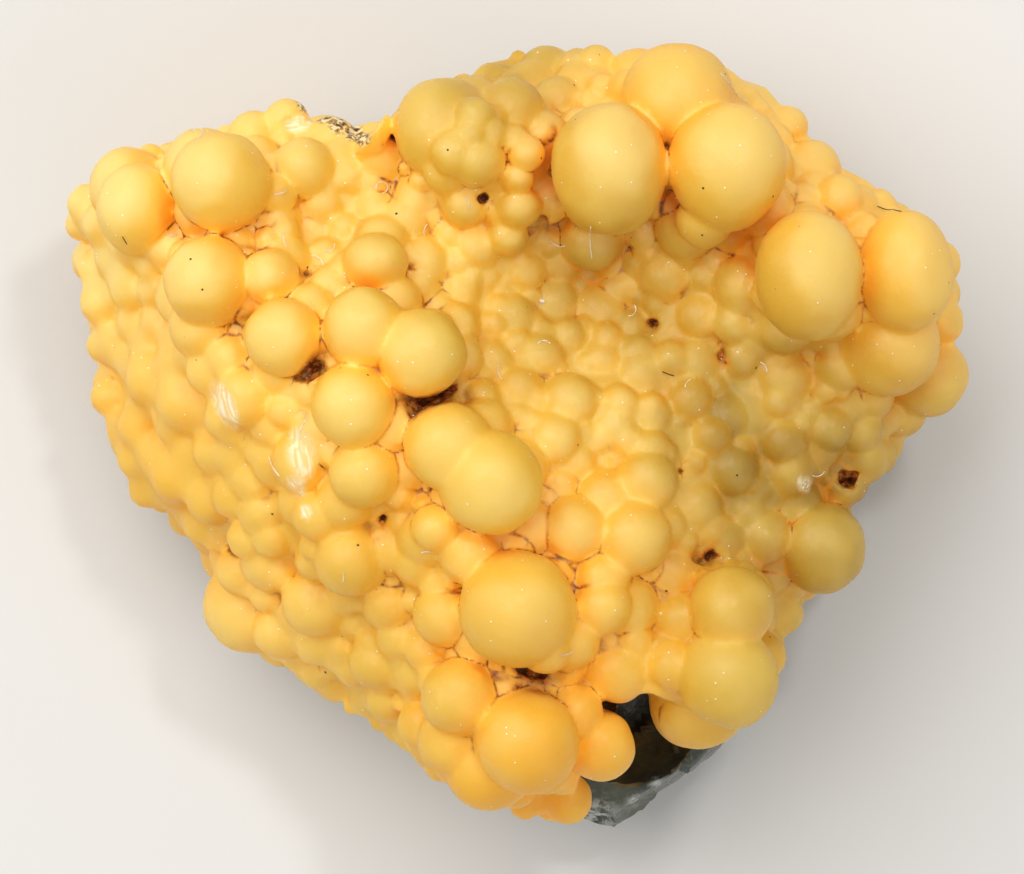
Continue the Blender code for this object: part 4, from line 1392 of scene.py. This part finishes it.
class MIMETITE_OT_rock(bpy.types.Operator):
    """Makes the broken quartz that the crust grew on"""

    bl_idname = "mimetite.rock"
    bl_label = "Quartz"

    def execute(self, context):
        shape = ground_shape(CRUST_THICKNESS, GROUND_LEVEL - 1)
        for point, facing in BREAKS:
            cut_flat(shape, Vector(point), Vector(facing).normalized())
        rock = link("quartz_rock", shape)
        combine(rock, "UNION", [link("ledge", ledge_shape(LEDGE_CHIPS))])
        combine(rock, "DIFFERENCE", [link("hollow", hollow_shape())])
        fuse(rock, ROCK_VOXEL)
        keep_outer_skin(rock)
        chip_rock(rock)
        mark_rock(rock)
        shade_smooth(rock, math.radians(30))
        finished(rock, quartz_look(context.scene.mimetite), "matrix_rock")
        return {"FINISHED"}


class MIMETITE_OT_crust(bpy.types.Operator):
    """Makes the crust of mimetite with all of its globes"""

    bl_idname = "mimetite.crust"
    bl_label = "Mimetite crust"

    def execute(self, context):
        crust = link("mimetite_globes", ground_shape(0.0, GROUND_LEVEL))
        shown, sides = shown_globes(), side_globes()
        globes = shown + sides
        globes += fill_globes(globes)
        hidden = globe_things(globes[len(shown):], len(shown))
        pits = [link(f"pit_{number}", pit_shape(*pit)) for number, pit in enumerate(PITS)]
        combine(crust, "UNION", [*hidden, link("splinter", hull_shape(SPLINTER))])
        combine(crust, "DIFFERENCE", [*pits, link("mouth", mouth_shape())])
        combine(crust, "UNION", globe_things(shown, 0))
        shape = bmesh.new()
        shape.from_mesh(crust.data)
        for height, rise_x, rise_y in CRUST_EDGES:
            cut_flat(shape, Vector((0, 0, height)) * MM, Vector((rise_x, rise_y, -1.0)).normalized())
        bmesh.ops.triangulate(shape, faces=shape.faces[:])
        shape.to_mesh(crust.data)
        shape.free()
        fuse(crust, FUSE_VOXEL)
        keep_outer_skin(crust)
        simplify(crust, CRUST_FACES)
        cutters = [
            link("rock_cutter", ground_shape(CRUST_THICKNESS - ROCK_GAP, GROUND_LEVEL - 1)),
            link("ledge_cutter", ledge_shape(LEDGE_GAP)),
        ]
        combine(crust, "DIFFERENCE", cutters)
        keep_outer_skin(crust)
        owner, apart = globe_marks(points_of(crust.data), globes)
        soften_flank(crust, globes, owner)
        break_globes(crust)
        mark_crust(crust, globes, owner, apart)
        shade_smooth(crust, math.radians(40))
        finished(crust, mimetite_look(context.scene.mimetite), "mimetite_crust")
        return {"FINISHED"}


class MIMETITE_OT_lint(bpy.types.Operator):
    """Lays the lint and the hairs on the crust"""

    bl_idname = "mimetite.lint"
    bl_label = "Lint"

    def execute(self, context):
        crust = bpy.data.objects["mimetite_globes"].data
        points = [tuple(point) for point in points_of(crust)]
        tree = BVHTree.FromPolygons(points, [tuple(face.vertices) for face in crust.polygons])
        shape = bmesh.new()
        layer = shape.verts.layers.float.new("dark")
        for *course, dark in LINT:
            add_strand(shape, lint_path(tree, *course), LINT_RADIUS, layer, dark)
        add_strand(shape, lint_path(tree, *CRUMB), CRUMB_RADIUS, layer, 0.0)
        bmesh.ops.recalc_face_normals(shape, faces=shape.faces[:])
        lint = link("lint", shape)
        lint.data.shade_smooth()
        finished(lint, lint_look())
        return {"FINISHED"}


class MIMETITE_OT_studio(bpy.types.Operator):
    """Makes the floor, the lights and the camera"""

    bl_idname = "mimetite.studio"
    bl_label = "Studio"

    def execute(self, context):
        studio = context.scene.mimetite_studio
        shape = bmesh.new()
        bmesh.ops.create_grid(shape, x_segments=1, y_segments=1, size=900.0)
        floor = link("floor", shape)
        look = Look("floor")
        look.shader.inputs["Base Color"].default_value = (0.8, 0.79, 0.77, 1.0)
        look.shader.inputs["Roughness"].default_value = 0.7
        floor.data.materials.append(look.material)
        for name, watts, place, size in (
            ("key", studio.key_watts, (-0.27, 0.23, 0.48), 0.6),
            ("fill", studio.fill_watts, (0.3, -0.3, 0.4), 0.5),
            ("spark", studio.spark_watts, (0.12, 0.17, 0.45), 0.05),
        ):
            light = bpy.data.lights.new(name, "AREA")
            light.energy, light.size = watts, size
            lamp = bpy.data.objects.new(name, light)
            lamp.location = place
            lamp.rotation_euler = (Vector((0, 0, 0.01)) - lamp.location).to_track_quat("-Z", "Y").to_euler()
            context.scene.collection.objects.link(lamp)
        world = bpy.data.worlds.new("studio")
        world.use_nodes = True
        world.node_tree.nodes["Background"].inputs["Color"].default_value = (1.0, 0.98, 0.95, 1.0)
        world.node_tree.nodes["Background"].inputs["Strength"].default_value = studio.sky
        context.scene.world = world
        camera = bpy.data.cameras.new("camera")
        camera.sensor_width = 36.0
        camera.lens = 36.0 * 450.0 / 51.2
        camera.clip_end = 10.0
        eye = bpy.data.objects.new("camera", camera)
        eye.location = (-0.00015, 0.0, studio.eye_height)
        context.scene.collection.objects.link(eye)
        context.scene.camera = eye
        context.scene.view_settings.view_transform = "Standard"
        return {"FINISHED"}


class MIMETITE_PT_panel(bpy.types.Panel):
    """Settings and steps of the mimetite specimen"""

    bl_label = "Mimetite specimen"
    bl_space_type = "VIEW_3D"
    bl_region_type = "UI"
    bl_category = "Mimetite"

    def draw(self, context):
        for group in (context.scene.mimetite, context.scene.mimetite_studio):
            for name in group.bl_rna.properties.keys():
                if name not in {"rna_type", "name"}:
                    self.layout.prop(group, name)
        for step in STEPS:
            self.layout.operator(step.bl_idname)


STEPS = (MIMETITE_OT_rock, MIMETITE_OT_crust, MIMETITE_OT_lint, MIMETITE_OT_studio)
CLASSES = (MimetiteSettings, StudioSettings, *STEPS, MIMETITE_PT_panel)


def register():
    for each in CLASSES:
        bpy.utils.register_class(each)
    bpy.types.Scene.mimetite = bpy.props.PointerProperty(type=MimetiteSettings)
    bpy.types.Scene.mimetite_studio = bpy.props.PointerProperty(type=StudioSettings)


def unregister():
    del bpy.types.Scene.mimetite
    del bpy.types.Scene.mimetite_studio
    for each in reversed(CLASSES):
        bpy.utils.unregister_class(each)


def corners(box):
    return [[float(number) for number in corner] for corner in box]


def main():
    register()
    for step in STEPS:
        family, name = step.bl_idname.split(".")
        getattr(getattr(bpy.ops, family), name)()


if __name__ == "__main__":
    main()
